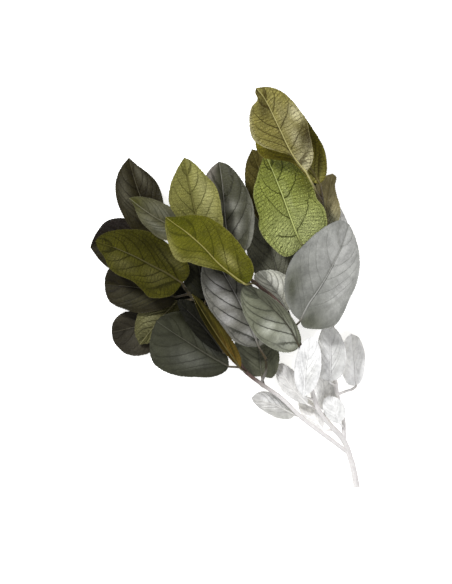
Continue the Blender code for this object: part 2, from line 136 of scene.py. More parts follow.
# The same for the leaves whose veins show clearly: each vein's start and rise, to the left and to the right.
OWN_VEINS = {
    "right_leaf_01": (
        ((0.1, 0.3), (0.26, 0.45), (0.38, 0.5), (0.52, 0.55), (0.74, 0.6)),
        ((0.13, 0.14), (0.28, 0.25), (0.52, 0.32), (0.7, 0.5), (0.84, 0.5))),
    "right_leaf_04": (
        ((-0.02, 0.02), (0.12, 0.3), (0.29, 0.85), (0.55, 0.7), (0.8, 0.7)),
        ((-0.06, 0.1), (0.15, 0.52), (0.5, 0.45), (0.7, 0.5), (0.84, 0.6))),
    "middle_leaf_01": (
        ((0.02, 0.4), (0.16, 0.5), (0.34, 0.6), (0.56, 0.6), (0.78, 0.6)),
        ((0.04, 0.4), (0.2, 0.5), (0.38, 0.6), (0.6, 0.6), (0.8, 0.6))),
    "middle_leaf_02": (
        ((0.04, 0.4), (0.2, 0.55), (0.42, 0.6), (0.68, 0.6)),
        ((0.02, 0.4), (0.17, 0.55), (0.36, 0.6), (0.6, 0.6))),
    "middle_leaf_03": (
        ((0.05, 0.45), (0.22, 0.6), (0.45, 0.6), (0.7, 0.6)),
        ((0.03, 0.45), (0.2, 0.6), (0.4, 0.6), (0.64, 0.6))),
    "middle_leaf_05": (
        ((0.06, 0.4), (0.22, 0.5), (0.4, 0.55), (0.6, 0.55), (0.8, 0.5)),
        ((0.04, 0.4), (0.2, 0.5), (0.38, 0.55), (0.58, 0.55), (0.78, 0.5))),
    "middle_leaf_06": (
        ((0.02, 0.35), (0.13, 0.7), (0.3, 0.85), (0.52, 0.8), (0.76, 0.7)),
        ((0.03, 0.4), (0.16, 0.7), (0.33, 0.8), (0.55, 0.7), (0.78, 0.6))),
}

# A branch is a list of (x, y, height, radius) from its foot to its tip.
BRANCHES = {
    "middle": [
        (358, 489, 3.2, 3.1), (353, 465, 5.5, 2.9), (345, 442, 10, 2.7), (332, 427, 16, 2.4),
        (319, 410, 23, 2.2), (310, 384, 30, 2.1), (303, 356, 36, 2.0), (293, 325, 40, 1.9),
        (277, 301, 43, 1.8), (260, 287, 45, 1.7), (245, 275, 45, 1.6), (229, 262, 44, 1.5),
        (206, 247, 41, 1.4),
    ],
    "left": [
        (348, 453, 7.5, 2.0), (328, 438, 12, 2.1), (303, 419, 16, 2.0), (281, 398, 19, 2.0),
        (261, 384, 21, 1.9), (245, 371, 23, 1.9), (230, 348, 24, 1.8), (216, 327, 25, 1.7),
        (202, 308, 25, 1.6), (187, 291, 24, 1.5), (176, 274, 22, 1.4), (168, 258, 20, 1.3),
        (162, 245, 18, 1.2),
    ],
    "right": [
        (345, 442, 10, 2.0), (344, 421, 14, 2.1), (338, 395, 18, 2.0), (334, 369, 22, 2.0),
        (333, 339, 25, 1.9), (332, 305, 28, 1.8), (329, 269, 31, 1.7), (327, 237, 33, 1.6),
        (323, 211, 35, 1.4), (322, 196, 37, 1.3),
    ],
    "right_inner": [(329, 269, 31, 1.4), (321, 259, 30, 1.4), (311, 250, 29, 1.3), (303, 248, 28, 1.1)],
    "left_inner": [(261, 384, 21, 1.4), (266, 371, 25, 1.3), (266, 359, 29, 1.2)],
    "far_right": [(338, 395, 18, 1.4), (346, 392, 17, 1.3), (353, 390, 16, 1.2)],
}

# Where along each branch its bark turns from old grey bark to the green of a young shoot.
YOUNG_FROM = {
    "middle": (0.75, 1.0), "left": (0.5, 0.7), "right": (0.5, 0.8), "right_inner": (-1.0, 0.0),
    "left_inner": (-0.3, 0.2), "far_right": (1.0, 2.0),
}

# A leaf's base and tip are (x, y, height). Its midrib, left edge and right edge are plan points
# between them, in order from the base. The left edge is on the left hand of someone who looks from
# the base to the tip. The blade rises from its midrib by fold degrees on both sides, and its left
# side rises and its right side sinks by tilt degrees more. The midrib arches up by bow. Its petiole
# starts lag nearer the branch's foot than the blade does, or at the branch's end where lag is 0.
Leaf = namedtuple("Leaf", "name tone branch base tip midrib left right fold tilt bow wave lag",
                  defaults=(10, 0, 5, 0.8, 5))

LEAVES = [
    # The right branch, from its tip down.
    Leaf("right_leaf_01", "khaki", "right", (306, 173, 56), (256, 89, 62),
         [(292, 155), (280, 131), (272, 114), (264, 99)],
         [(301, 169), (291, 157), (276, 152), (261, 147), (252, 139), (249, 123), (251, 109), (257, 101),
          (255, 94)],
         [(311, 165), (313, 157), (312, 148), (309, 135), (306, 122), (299, 111), (290, 100), (280, 92),
          (268, 88)],
         fold=14, bow=6),
    Leaf("right_leaf_02", "dark_olive", "right", (320, 184, 46), (276, 101, 44),
         [(309, 165), (298, 145), (286, 120)],
         [(311, 182), (302, 172), (291, 163), (275, 160), (263, 158), (256, 148), (256, 130), (264, 112)],
         [(325, 178), (327, 167), (325, 152), (320, 141), (312, 128), (303, 115), (291, 104)],
         fold=5, bow=4, lag=0),
    Leaf("right_leaf_03", "dark_olive", "right_inner", (285, 230, 17), (252, 148, 10),
         [(276, 210), (264, 180)],
         [(270, 228), (257, 217), (249, 200), (245, 181), (246, 163)],
         [(292, 216), (290, 200), (284, 180), (272, 162), (260, 151)], fold=7, bow=3, lag=0),
    Leaf("right_leaf_04", "bright_green", "right_inner", (303, 246, 37), (265, 152, 24),
         [(298, 236), (292, 221), (284, 199), (276, 178), (270, 164)],
         [(298, 250), (290, 256), (281, 255), (270, 245), (262, 235), (258.5, 225), (259, 216), (256, 208),
          (253.5, 198), (254, 188), (257, 177), (261, 163)],
         [(307, 242), (314, 235), (322, 230), (327, 225), (326, 214), (323, 206), (317, 199), (314, 189),
          (307, 176), (296, 165), (280, 156)],
         fold=6, bow=7),
    Leaf("right_leaf_05", "dark_olive", "right", (329, 236, 25), (333, 173, 22),
         [(328, 205)],
         [(317, 227), (313, 207), (314, 189), (323, 177)],
         [(337, 226), (341, 211), (338, 197), (335.5, 186), (337, 177)], fold=6, tilt=4, bow=3),
    Leaf("right_leaf_06", "silver", "right", (339, 290, 16), (334, 197, 8),
         [(338, 245)],
         [(322, 278), (316, 255), (318, 230), (325, 208)],
         [(352, 279), (357, 258), (354, 238), (348, 221), (341, 206)], fold=5, bow=3),
    Leaf("right_leaf_07", "silver", "middle", (300, 321, 52), (349, 225, 58),
         [(309, 303), (322, 284), (333, 264), (342, 246)],
         [(292, 313), (286, 301), (284, 287), (286, 272), (292, 258), (303, 245.5), (315, 234), (328, 225),
          (340, 220.5)],
         [(303, 327), (312, 329), (324, 329), (335, 325), (343, 313), (349, 299), (356, 283), (359, 266),
          (358, 250), (354, 236)],
         fold=5, bow=6),
    Leaf("right_leaf_08", "bleached", "far_right", (357, 387, 15), (352, 334, 9),
         [(355, 360)],
         [(348, 384), (342, 370), (342, 354), (346, 340)],
         [(363, 380), (366, 365), (365, 350), (360, 338)], fold=7, bow=3, lag=0),
    Leaf("right_leaf_09", "bleached", "right", (330, 382, 31), (328, 322, 38),
         [(331, 352)],
         [(321, 377), (317, 362), (317, 346), (321, 331)],
         [(341, 377), (346, 362), (345, 346), (338, 331)], fold=7, bow=3),
    Leaf("right_leaf_10", "black_green", "right", (324, 302, 14), (298, 237, -4),
         [(312, 270)],
         [(308, 300), (296, 284), (289, 264), (291, 247)],
         [(330, 285), (330, 264), (321, 247), (309, 238)], fold=3, bow=1),
    Leaf("right_leaf_11", "black_green", "right_inner", (303, 236, 15), (305, 152, -4),
         [(304, 194)],
         [(295, 225), (291, 205), (291, 182), (296, 163)],
         [(313, 226), (320, 205), (321, 182), (315, 163)], fold=3, bow=1),
    # The middle branch.
    Leaf("middle_leaf_01", "olive", "middle", (204, 243, 50), (184.5, 158, 54),
         [(197, 218), (193, 200), (189, 181)],
         [(192, 236), (178, 219), (170, 206), (169, 196), (171, 184), (176, 172), (181, 163)],
         [(216, 240), (223, 226), (221.5, 210), (219, 195), (214, 184), (207, 177), (199, 168), (191, 161)],
         fold=14, bow=4),
    Leaf("middle_leaf_02", "grey_green", "middle", (233, 255, 35), (219, 161.5, 37),
         [(227, 232), (224.5, 210), (223, 188)],
         [(222, 250), (212, 235), (206, 215), (203, 195), (205, 178), (211, 168)],
         [(244, 252), (251, 243), (254, 228), (254, 211), (250, 196), (243, 182), (235, 171), (227, 164)],
         fold=15, bow=4, wave=1.0),
    Leaf("middle_leaf_03", "olive", "middle", (246, 284.5, 66), (166, 217.5, 69),
         [(236, 278), (219, 264), (205, 249), (190, 235), (176, 225)],
         [(238, 282), (226, 273), (212, 269), (198, 265.5), (189, 262.5), (183, 262.5), (176, 259),
          (170, 248), (167, 236), (165.5, 226)],
         [(251, 280), (253.5, 273), (252, 263), (245, 252), (238, 242), (229, 232), (222, 226), (213, 220),
          (204, 216.5), (192, 215.5), (179, 217)],
         fold=7, bow=5),
    Leaf("middle_leaf_04", "grey_green", "middle", (184, 233, 42), (129, 198, 44),
         [(172, 226), (158, 219), (143, 209)],
         [(177, 240), (168, 241), (159, 238), (150, 231), (142, 223), (137, 214), (134, 206)],
         [(184, 222), (176, 212), (167, 205), (156, 200), (146, 197.5), (137, 196.5)], fold=9, bow=3, lag=0),
    Leaf("middle_leaf_05", "grey_green", "left_inner", (259, 347, 34), (215, 258, 32),
         [(249, 322), (236, 295)],
         [(251, 347), (242, 345), (231, 339), (221, 329), (212.5, 315), (207.5, 304), (203, 292), (201, 280),
          (202, 268), (207, 260)],
         [(266, 341), (268, 325), (262, 305), (252, 285), (239, 267), (226, 257)],
         fold=8, bow=3, wave=1.2, lag=0),
    Leaf("middle_leaf_06", "silver", "middle", (299, 346, 44), (243, 286, 52),
         [(291, 330), (278, 314), (262, 300), (251, 291)],
         [(296, 350), (288, 352.5), (278, 351), (268, 346), (257, 337), (249, 325), (243, 312), (240.5, 299),
          (241, 291)],
         [(301, 339), (297, 326), (289, 314), (279, 303), (267, 294), (254, 287)],
         fold=22, tilt=-14, bow=5, wave=1.2),
    Leaf("middle_leaf_07", "grey_green", "middle", (287, 312, 36), (259, 271, 36),
         [(276, 291)],
         [(277, 309), (266, 298), (257, 286), (254, 276)],
         [(296, 304), (297, 289), (287, 276), (273, 270)], fold=5, bow=2),
    Leaf("middle_leaf_08", "deep_green", "middle", (284, 299, 25), (254, 211, 6),
         [(272, 253)],
         [(269, 294), (256, 276), (247, 252), (247, 228)],
         [(295, 281), (296, 258), (287, 235), (270, 217)], fold=4, bow=2, lag=30),
    Leaf("middle_leaf_09", "black_green", "middle", (217, 245, 23), (221, 177, -5),
         [(217, 211)],
         [(205, 240), (196, 222), (197, 203), (207, 186)],
         [(229, 240), (239, 222), (240, 203), (233, 186)], fold=3, bow=1),
    # The left branch.
    Leaf("left_leaf_01", "black_green", "left", (156, 235, 20), (128.5, 157, 22),
         [(147, 212), (139, 193), (133, 175)],
         [(145, 237), (131, 228), (121, 212), (116, 198), (115, 184), (118, 172), (123, 163.5)],
         [(163, 226), (164, 208), (161, 192), (156, 181), (147, 172), (137, 164.5)], fold=12, bow=4, lag=0),
    Leaf("left_leaf_02", "black_green", "left", (155, 243, 9), (89, 247, 1),
         [(122, 243)],
         [(149, 256), (137, 267), (121, 271), (108, 268), (99, 260.5), (93, 253)],
         [(149, 232), (139, 224), (125, 218), (112, 218), (103, 222), (96, 231), (91, 240)], fold=4, bow=2),
    Leaf("left_leaf_03", "dark_olive", "left", (182, 283, 35), (95, 241, 30),
         [(165, 272), (149, 264), (134, 256), (116, 248)],
         [(178, 289), (171, 295.5), (160, 298), (149, 297), (141, 289), (132, 281), (118, 275), (109, 268),
          (104, 257), (98, 249)],
         [(187, 278), (189.5, 271), (187, 262), (178, 252), (165, 241), (152, 232.5), (137, 229.5),
          (120, 229.5), (107, 232), (98, 237)],
         fold=7, bow=7),
    Leaf("left_leaf_04", "black_green", "left", (176, 297, 20), (103.5, 284, 9),
         [(140, 288)],
         [(170, 306), (155, 311), (138, 313), (122, 308.5), (110, 303), (105, 294)],
         [(172, 285), (158, 272), (140, 265), (121, 264), (109, 268), (104.5, 276)], fold=5, bow=3),
    Leaf("left_leaf_05", "black_green", "left", (171, 314, 8), (110.5, 333, -3),
         [(142, 325)],
         [(170, 329), (163, 343), (152, 352), (138, 356.5), (125, 354.5), (117, 348), (112, 341)],
         [(164, 306), (155, 306), (146, 308), (134, 310.5), (123, 312.5), (115, 318), (111, 325)],
         fold=2, bow=1, lag=22),
    Leaf("left_leaf_06", "olive", "left", (177, 301, 14), (139, 345, 8),
         [(160, 319)],
         [(179, 309), (174, 319), (167, 328), (159, 337), (150, 343)],
         [(170, 297), (159, 299), (146, 306.5), (138, 313), (134.5, 324), (134.5, 335)],
         fold=5, bow=3, lag=9),
    Leaf("left_leaf_07", "deep_green", "left", (229, 367, 17), (156, 321, 27),
         [(211, 357), (192, 345), (172, 332)],
         [(224, 373), (212, 377.5), (196, 377.5), (180, 376.5), (165, 372), (153, 363), (149.5, 349),
          (151, 334)],
         [(228, 358), (222, 345), (211, 330), (198, 318), (184, 312), (172, 312.5), (162, 316)],
         fold=3, tilt=5, bow=3, wave=1.0),
    Leaf("left_leaf_08", "black_green", "left", (224, 353, 27), (177, 300, 33),
         [(202, 325)],
         [(214, 350), (200, 340), (188, 325), (179, 309)],
         [(226, 344), (218, 328), (204, 311), (188, 300)], fold=10, bow=3),
    Leaf("left_leaf_09", "olive", "left", (241, 369, 33), (192, 294, 41),
         [(230, 354), (219, 338), (207, 319)],
         [(233, 362), (223, 350), (213, 336), (203, 320), (196, 305)],
         [(241, 358), (234, 343), (225, 330), (213, 314), (201, 300)], fold=32, tilt=32, bow=5),
    Leaf("left_leaf_10", "black_green", "left", (206, 299, 30), (194, 245, 26),
         [(200, 272)],
         [(194, 296), (184, 283), (181, 265), (186, 252)],
         [(212, 290), (214, 275), (209, 258), (202, 248)], fold=5, bow=2),
    Leaf("left_leaf_11", "deep_green", "left", (262, 377, 15), (255, 320, 12),
         [(259, 349)],
         [(249, 376), (239, 364), (234, 350), (239, 332)],
         [(273, 378), (279, 366), (279, 350), (271, 333)], fold=4, bow=2),
    Leaf("left_leaf_12", "black_green", "left", (223, 347, 9), (203, 287, -4),
         [(213, 317)],
         [(207, 345), (190, 334), (176, 317), (170.5, 300), (174, 286), (187, 282)],
         [(233, 335), (235, 318), (228, 300), (215, 290)], fold=2, bow=1),
    # The leaves low on the stem.
    Leaf("low_leaf_01", "bleached", "left", (296, 416, 11), (251.5, 399, -2),
         [(275, 406)],
         [(290, 420), (277, 419), (264, 412), (255, 405)],
         [(293, 408), (283, 398), (269, 392.5), (258, 393.5)], fold=5, bow=2),
    Leaf("low_leaf_02", "bleached", "middle", (304, 397, 36), (312, 336, 46),
         [(306, 367)],
         [(297, 388), (294, 372), (297, 354), (304, 341)],
         [(313, 390), (320, 374), (321, 356), (318, 343)], fold=8, bow=3),
    Leaf("low_leaf_03", "bleached", "middle", (325, 412, 12), (322, 364, 4),
         [(325, 388)],
         [(317, 405), (313, 391), (313, 378), (317, 368)],
         [(334, 404), (338, 391), (336, 378), (329, 368)], fold=9, bow=2),
    Leaf("low_leaf_04", "bleached", "middle", (308, 405, 16), (277, 365, 8),
         [(292, 387)],
         [(299, 403), (285, 394), (278, 382), (276, 371)],
         [(308, 396), (304, 383), (295, 372), (284, 364)], fold=8, bow=2),
    Leaf("low_leaf_05", "bleached", "right", (340, 424, 22), (330, 396, 22),
         [(336, 410)],
         [(332, 422), (325, 414), (323, 406), (325, 399)],
         [(346, 416), (344, 405), (337, 398)], fold=8, bow=2),
    Leaf("low_leaf_06", "bleached", "middle", (324, 431, 8), (299, 399, -2),
         [(312, 415)],
         [(316, 431), (306, 422), (300, 411)],
         [(325, 420), (319, 408), (309, 400)], fold=5, bow=1),
]


# How a leaf looks. Its body, first, second, veins, rib and rim are colours, red, green and blue from 0
# to 255, as the lit leaf shows them. Each place lays the first (1) or second (2) colour over the body:
# (which, share along, share across, reach along, reach across, strength), where across runs from -1 at
# the left margin to 1 at the right. The places lay the leaf's own blotches of tone, and on many leaves
# also painted shadows and painted highlights. The net is the depth of the fine veins, the quilt the
# height of the blade between its side veins, in millimetres. Lit is the share of the light that its
# neighbours let by: the colours are divided by it, so a leaf in their shade is painted paler, which is
# painted light. Shine is the strength of its sheen.
Finish = namedtuple("Finish", "body first second veins rib rim places net quilt rough lit shine",
                    defaults=((), 0.15, 0.7, 0.5, 1.0, 0.25))

FINISHES = {
    # The first colour at the right margin is a painted shadow, where the curled blade is shaded; the second
    # colour paints highlights on the fold and on the base of the right half.
    "right_leaf_01": Finish(
        (154, 146, 78), (50, 42, 8), (218, 211, 166), (62, 52, 14), (196, 188, 124), (164, 154, 104),
        [(1, 0.31, 1.1, 0.21, 0.85), (1, 0.98, -0.5, 0.1, 0.6, 0.7), (2, 0.56, 0.8, 0.08, 0.24),
         (2, 0.09, 0.55, 0.14, 1.0), (2, 0.36, 0.4, 0.12, 0.2, 0.6), (1, 0.8, -0.3, 0.16, 0.25, 0.7),
         (2, 0.6, -1.0, 0.25, 0.12, 0.5), (2, 0.5, 0.35, 0.25, 0.3, 0.3)],
        net=0.42, quilt=0.7, rough=0.36, lit=0.8, shine=0.16),
    # The dark places in the first colour are painted shadow, where right_leaf_01 above shades this leaf.
    "right_leaf_02": Finish(
        (112, 106, 34), (50, 44, 10), (120, 116, 66), (46, 40, 8), (112, 104, 56), (104, 98, 50),
        [(1, 0.6, 0.6, 0.4, 0.4), (2, 0.1, 0.0, 0.18, 0.8), (1, 0.35, -0.9, 0.5, 0.4, 0.5),
         (1, 0.15, 0.95, 0.2, 0.2, 0.5)], net=0.4, lit=0.46, shine=0.12),
    "right_leaf_03": Finish(
        (76, 69, 34), (52, 46, 18), (96, 90, 50), (50, 44, 16), (92, 86, 46), (94, 88, 50),
        [(1, 0.3, 0.3, 0.4, 0.6)], net=0.35, lit=0.58, shine=0.12),
    # The pale places low on both halves (second colour) are painted light where another leaf shades the
    # base, and the one just right of the midrib is a painted highlight.
    "right_leaf_04": Finish(
        (143, 151, 72), (92, 92, 16), (214, 222, 152), (56, 60, 8), (190, 198, 122), (166, 168, 110),
        [(1, 0.95, 0.0, 0.13, 1.4, 0.6), (2, 0.16, -0.5, 0.24, 0.6, 0.7), (2, 0.42, 0.14, 0.24, 0.12, 0.5),
         (2, 0.16, 0.45, 0.24, 0.7, 0.8), (1, 0.6, 0.85, 0.14, 0.3, 0.9)],
        net=0.5, quilt=0.85, rough=0.36, lit=0.74, shine=0.14),
    "right_leaf_05": Finish(
        (108, 100, 68), (128, 130, 114), (132, 124, 92), (84, 76, 46), (130, 122, 90), (120, 112, 80),
        [(1, 0.1, 0.0, 0.3, 1.4), (2, 0.6, 0.4, 0.2, 0.3)], net=0.15, lit=0.5, quilt=0.3),
    "right_leaf_06": Finish(
        (244, 244, 243), (206, 206, 200), (252, 252, 252), (222, 222, 220), (236, 236, 236), (250, 250, 250),
        [(1, 0.7, -0.4, 0.3, 0.6)], net=0.05, quilt=0.4, rough=0.6, lit=0.8),
    "right_leaf_07": Finish(
        (144, 145, 140), (78, 80, 66), (172, 172, 169), (122, 123, 116), (164, 164, 160), (158, 159, 155),
        [(1, 0.08, 0.6, 0.2, 0.7), (1, 0.3, -0.75, 0.2, 0.3), (1, 0.1, 0.0, 0.22, 1.0, 0.5),
         (2, 0.78, 0.2, 0.3, 0.9), (2, 0.5, 0.6, 0.2, 0.35)],
        net=0.06, quilt=0.4, rough=0.5, lit=0.9),
    "right_leaf_08": Finish(
        (228, 228, 228), (208, 208, 207), (240, 240, 240), (212, 212, 211), (234, 234, 234), (238, 238, 238),
        [(1, 0.3, -0.5, 0.3, 0.4), (1, 0.8, 0.3, 0.15, 0.4)], net=0.02, quilt=0.3, rough=0.6, lit=0.36),
    "right_leaf_09": Finish(
        (224, 224, 223), (206, 206, 204), (246, 246, 246), (210, 210, 208), (230, 230, 230), (234, 234, 234),
        [(1, 0.4, 0.5, 0.3, 0.4), (2, 0.3, -0.4, 0.3, 0.4)], net=0.02, quilt=0.5, rough=0.6, lit=0.9),
    "right_leaf_10": Finish(
        (60, 60, 57), (32, 32, 24), (84, 84, 82), (34, 34, 26), (58, 58, 50), (56, 56, 48), lit=0.35),
    "right_leaf_11": Finish(
        (40, 40, 28), (28, 28, 18), (60, 60, 46), (30, 30, 20), (54, 54, 42), (50, 50, 38),
        lit=0.6, shine=0.12),
    "middle_leaf_01": Finish(
        (128, 126, 68), (88, 86, 34), (156, 154, 100), (62, 60, 20), (112, 108, 54), (142, 138, 86),
        [(1, 0.04, 0.0, 0.14, 1.4), (2, 0.55, 0.5, 0.3, 0.35)], net=0.3, quilt=0.7, lit=0.74, shine=0.15),
    # Its pale band on the left (first colour) and its pale spots (second colour) are partly its grey tone
    # and partly painted highlights on the folds that face the light.
    "middle_leaf_02": Finish(
        (70, 70, 55), (146, 140, 132), (132, 132, 122), (46, 46, 34), (128, 126, 118), (126, 124, 116),
        [(1, 0.74, -0.9, 0.4, 0.42), (2, 0.32, 0.4, 0.1, 0.25), (2, 0.52, 0.2, 0.06, 0.3),
         (2, 0.3, 0.95, 0.2, 0.12), (2, 0.2, -0.5, 0.12, 0.35, 0.6)],
        net=0.1, quilt=1.2, rough=0.4, lit=0.88, shine=0.2),
    # The pale place along the left margin (second colour) is a painted sheen.
    "middle_leaf_03": Finish(
        (108, 107, 33), (86, 88, 16), (150, 146, 86), (66, 66, 10), (168, 160, 92), (138, 132, 76),
        [(1, 0.9, 0.4, 0.2, 0.7), (2, 0.66, -0.98, 0.34, 0.2), (2, 0.3, 0.35, 0.1, 0.16),
         (1, 0.06, 0.0, 0.1, 1.2), (2, 0.45, -0.6, 0.12, 0.25, 0.4), (1, 0.6, 0.3, 0.25, 0.3, 0.4)],
        net=0.32, quilt=0.9, rough=0.4, lit=0.88, shine=0.1),
    "middle_leaf_04": Finish(
        (100, 98, 76), (72, 72, 28), (130, 130, 112), (64, 62, 42), (124, 122, 100), (120, 118, 96),
        [(1, 0.9, 0.0, 0.2, 1.4), (1, 0.1, 0.3, 0.3, 1.0, 0.7), (2, 0.4, 0.5, 0.25, 0.3, 0.7),
         (2, 0.4, -0.5, 0.2, 0.2)], net=0.12, quilt=0.7, lit=0.96, shine=0.15),
    # The narrow pale places (second colour) are painted highlights on the bulges beside the side veins.
    "middle_leaf_05": Finish(
        (102, 101, 93), (50, 50, 40), (176, 175, 173), (42, 42, 34), (140, 138, 134), (138, 137, 132),
        [(1, 0.9, 0.3, 0.12, 1.0), (2, 0.55, -0.4, 0.08, 0.3, 0.6), (2, 0.4, -0.6, 0.06, 0.3, 0.7),
         (2, 0.7, -0.5, 0.06, 0.25, 0.8), (2, 0.3, 0.4, 0.08, 0.3), (2, 0.16, -0.2, 0.08, 0.5, 0.5)],
        net=0.1, quilt=2.0, rough=0.42, lit=0.74, shine=0.2),
    "middle_leaf_06": Finish(
        (100, 102, 86), (84, 85, 72), (160, 162, 150), (70, 72, 60), (62, 62, 52), (140, 142, 130),
        [(1, 0.65, 0.5, 0.25, 0.6), (2, 0.2, -0.3, 0.16, 0.6), (2, 0.45, -0.5, 0.08, 0.3)],
        net=0.08, quilt=2.0, rough=0.42, lit=0.68, shine=0.2),
    "middle_leaf_07": Finish(
        (120, 120, 112), (92, 92, 84), (146, 146, 140), (84, 84, 76), (138, 138, 132), (136, 136, 130),
        [(1, 0.15, 0.0, 0.2, 1.2), (2, 0.6, 0.3, 0.2, 0.3)], net=0.08, quilt=1.1, lit=0.3),
    "middle_leaf_08": Finish(
        (58, 58, 49), (42, 42, 34), (78, 78, 68), (42, 42, 34), (72, 72, 62), (68, 68, 58),
        [(1, 0.2, 0.0, 0.4, 1.0), (2, 0.6, 0.4, 0.2, 0.3)], lit=0.25),
    "middle_leaf_09": Finish(
        (34, 34, 26), (26, 26, 18), (50, 50, 40), (26, 26, 20), (46, 46, 36), (44, 44, 34), shine=0.12),
    # The pale places (second colour) are painted highlights on the dark blade.
    "left_leaf_01": Finish(
        (48, 44, 27), (36, 32, 18), (86, 83, 68), (32, 28, 16), (78, 74, 56), (74, 70, 54),
        [(1, 0.3, 0.2, 0.3, 0.5), (2, 0.6, -0.6, 0.2, 0.25), (2, 0.75, 0.5, 0.15, 0.25),
         (2, 0.2, 0.9, 0.2, 0.12)],
        net=0.12, quilt=0.8, rough=0.4, lit=0.95, shine=0.12),
    "left_leaf_02": Finish(
        (42, 38, 21), (32, 26, 22), (62, 60, 34), (26, 22, 10), (56, 52, 36), (58, 52, 44),
        [(1, 0.6, 0.8, 0.6, 0.4), (2, 0.6, -0.4, 0.2, 0.3)], net=0.12, rough=0.45, shine=0.12),
    "left_leaf_03": Finish(
        (82, 80, 26), (54, 52, 15), (94, 91, 50), (34, 33, 8), (84, 80, 40), (100, 96, 54),
        [(1, 0.5, 0.6, 0.3, 0.4), (2, 0.3, -0.3, 0.15, 0.3), (2, 0.65, -0.5, 0.15, 0.3),
         (2, 0.25, 0.6, 0.12, 0.2)],
        net=0.34, quilt=0.8, rough=0.4, lit=0.92, shine=0.06),
    "left_leaf_04": Finish(
        (51, 47, 29), (34, 30, 17), (70, 67, 47), (32, 28, 15), (66, 62, 44), (64, 60, 42),
        [(1, 0.5, 0.6, 0.4, 0.5), (2, 0.5, -0.5, 0.2, 0.3)], net=0.12, rough=0.45, lit=1.2, shine=0.12),
    "left_leaf_05": Finish(
        (63, 59, 48), (44, 41, 32), (86, 83, 70), (40, 37, 28), (80, 76, 62), (78, 74, 60),
        [(1, 0.9, 0.0, 0.2, 1.2), (2, 0.4, -0.4, 0.2, 0.3)], net=0.12, rough=0.45, lit=0.95, shine=0.12),
    "left_leaf_06": Finish(
        (92, 90, 59), (66, 65, 38), (122, 120, 86), (50, 49, 24), (118, 114, 80), (116, 112, 78),
        [(1, 0.1, 0.0, 0.2, 1.2), (2, 0.5, 0.4, 0.2, 0.3)], net=0.28, quilt=0.9, lit=0.58, shine=0.15),
    "left_leaf_07": Finish(
        (62, 63, 50), (34, 34, 22), (98, 99, 90), (46, 47, 36), (88, 88, 76), (84, 85, 73),
        [(1, 0.68, 0.85, 0.3, 0.3), (2, 0.4, -0.4, 0.2, 0.3), (2, 0.3, 0.4, 0.15, 0.2)],
        net=0.1, quilt=0.7, rough=0.42, lit=0.95, shine=0.12),
    "left_leaf_08": Finish(
        (30, 30, 22), (22, 22, 14), (44, 44, 34), (22, 22, 15), (40, 40, 30), (38, 38, 28), shine=0.12),
    "left_leaf_09": Finish(
        (40, 38, 6), (124, 100, 46), (80, 72, 26), (30, 28, 5), (96, 88, 44), (104, 94, 46),
        [(1, 0.08, 0.0, 0.3, 1.6), (2, 0.5, 0.6, 0.4, 0.2)], net=0.16, lit=0.8, shine=0.06),
    "left_leaf_10": Finish(
        (34, 34, 22), (24, 24, 14), (50, 50, 36), (24, 24, 15), (46, 46, 32), (42, 42, 30), shine=0.12),
    "left_leaf_11": Finish(
        (74, 75, 62), (52, 53, 42), (94, 95, 84), (50, 51, 40), (90, 90, 78), (86, 86, 74),
        [(1, 0.3, 0.5, 0.3, 0.5)], net=0.1, lit=0.4),
    "left_leaf_12": Finish(
        (30, 30, 23), (24, 24, 16), (44, 44, 35), (24, 24, 18), (40, 40, 32), (38, 38, 30), shine=0.12),
    "low_leaf_01": Finish(
        (208, 207, 205), (146, 147, 134), (226, 226, 225), (182, 181, 177), (214, 213, 210), (222, 221, 220),
        [(1, 0.06, 0.3, 0.2, 0.8, 0.9), (1, 0.3, -0.7, 0.4, 0.3, 0.4), (2, 0.6, 0.4, 0.3, 0.4)],
        net=0.1, quilt=0.8, rough=0.6, lit=0.84),
    "low_leaf_02": Finish(
        (240, 240, 240), (226, 226, 224), (250, 250, 250), (228, 228, 227), (246, 246, 246), (248, 248, 248),
        [(1, 0.4, 0.4, 0.3, 0.4)], net=0.05, quilt=0.5, rough=0.6, lit=0.8),
    "low_leaf_03": Finish(
        (234, 233, 233), (218, 217, 216), (244, 244, 244), (220, 219, 218), (240, 240, 240), (242, 242, 242),
        [(1, 0.4, 0.4, 0.3, 0.4)], net=0.02, quilt=0.3, rough=0.6, lit=0.44),
    "low_leaf_04": Finish(
        (226, 225, 224), (208, 207, 205), (240, 240, 239), (210, 209, 207), (234, 233, 232), (236, 236, 235),
        [(1, 0.4, 0.4, 0.3, 0.4)], net=0.05, quilt=0.5, rough=0.6, lit=0.8),
    "low_leaf_05": Finish(
        (238, 238, 237), (224, 224, 223), (248, 248, 248), (226, 226, 225), (244, 244, 244), (246, 246, 246),
        [(1, 0.4, 0.4, 0.3, 0.4)], net=0.05, quilt=0.5, rough=0.6, lit=0.78),
    "low_leaf_06": Finish(
        (232, 231, 230), (216, 215, 214), (242, 242, 241), (218, 217, 216), (238, 237, 236), (240, 240, 239),
        [(1, 0.4, 0.4, 0.3, 0.4)], net=0.05, quilt=0.5, rough=0.6, lit=0.7),
}


def colour(red, green, blue, lit=1.0, shine=0.3):
    """The colour a surface needs to look like this where that share of the scene's light reaches it."""
    shares = [value / 255 for value in (red, green, blue)]
    linear = [((share + 0.055) / 1.055) ** 2.4 if share > 0.04 else share / 12.92 for share in shares]
    return (*[min(max(value / lit - GLOSS * shine, DARKEST) / LIGHT, PALEST) for value in linear], 1.0)


def from_plan(points):
    """Plan points, with their heights if they have them, as rows in the model's directions."""
    rows = np.array(points, float)
    rows[:, 0] = rows[:, 0] - PLAN_MIDDLE[0] - BOX_MIDDLE[0]
    rows[:, 1] = PLAN_MIDDLE[1] - rows[:, 1] - BOX_MIDDLE[1]
    return rows


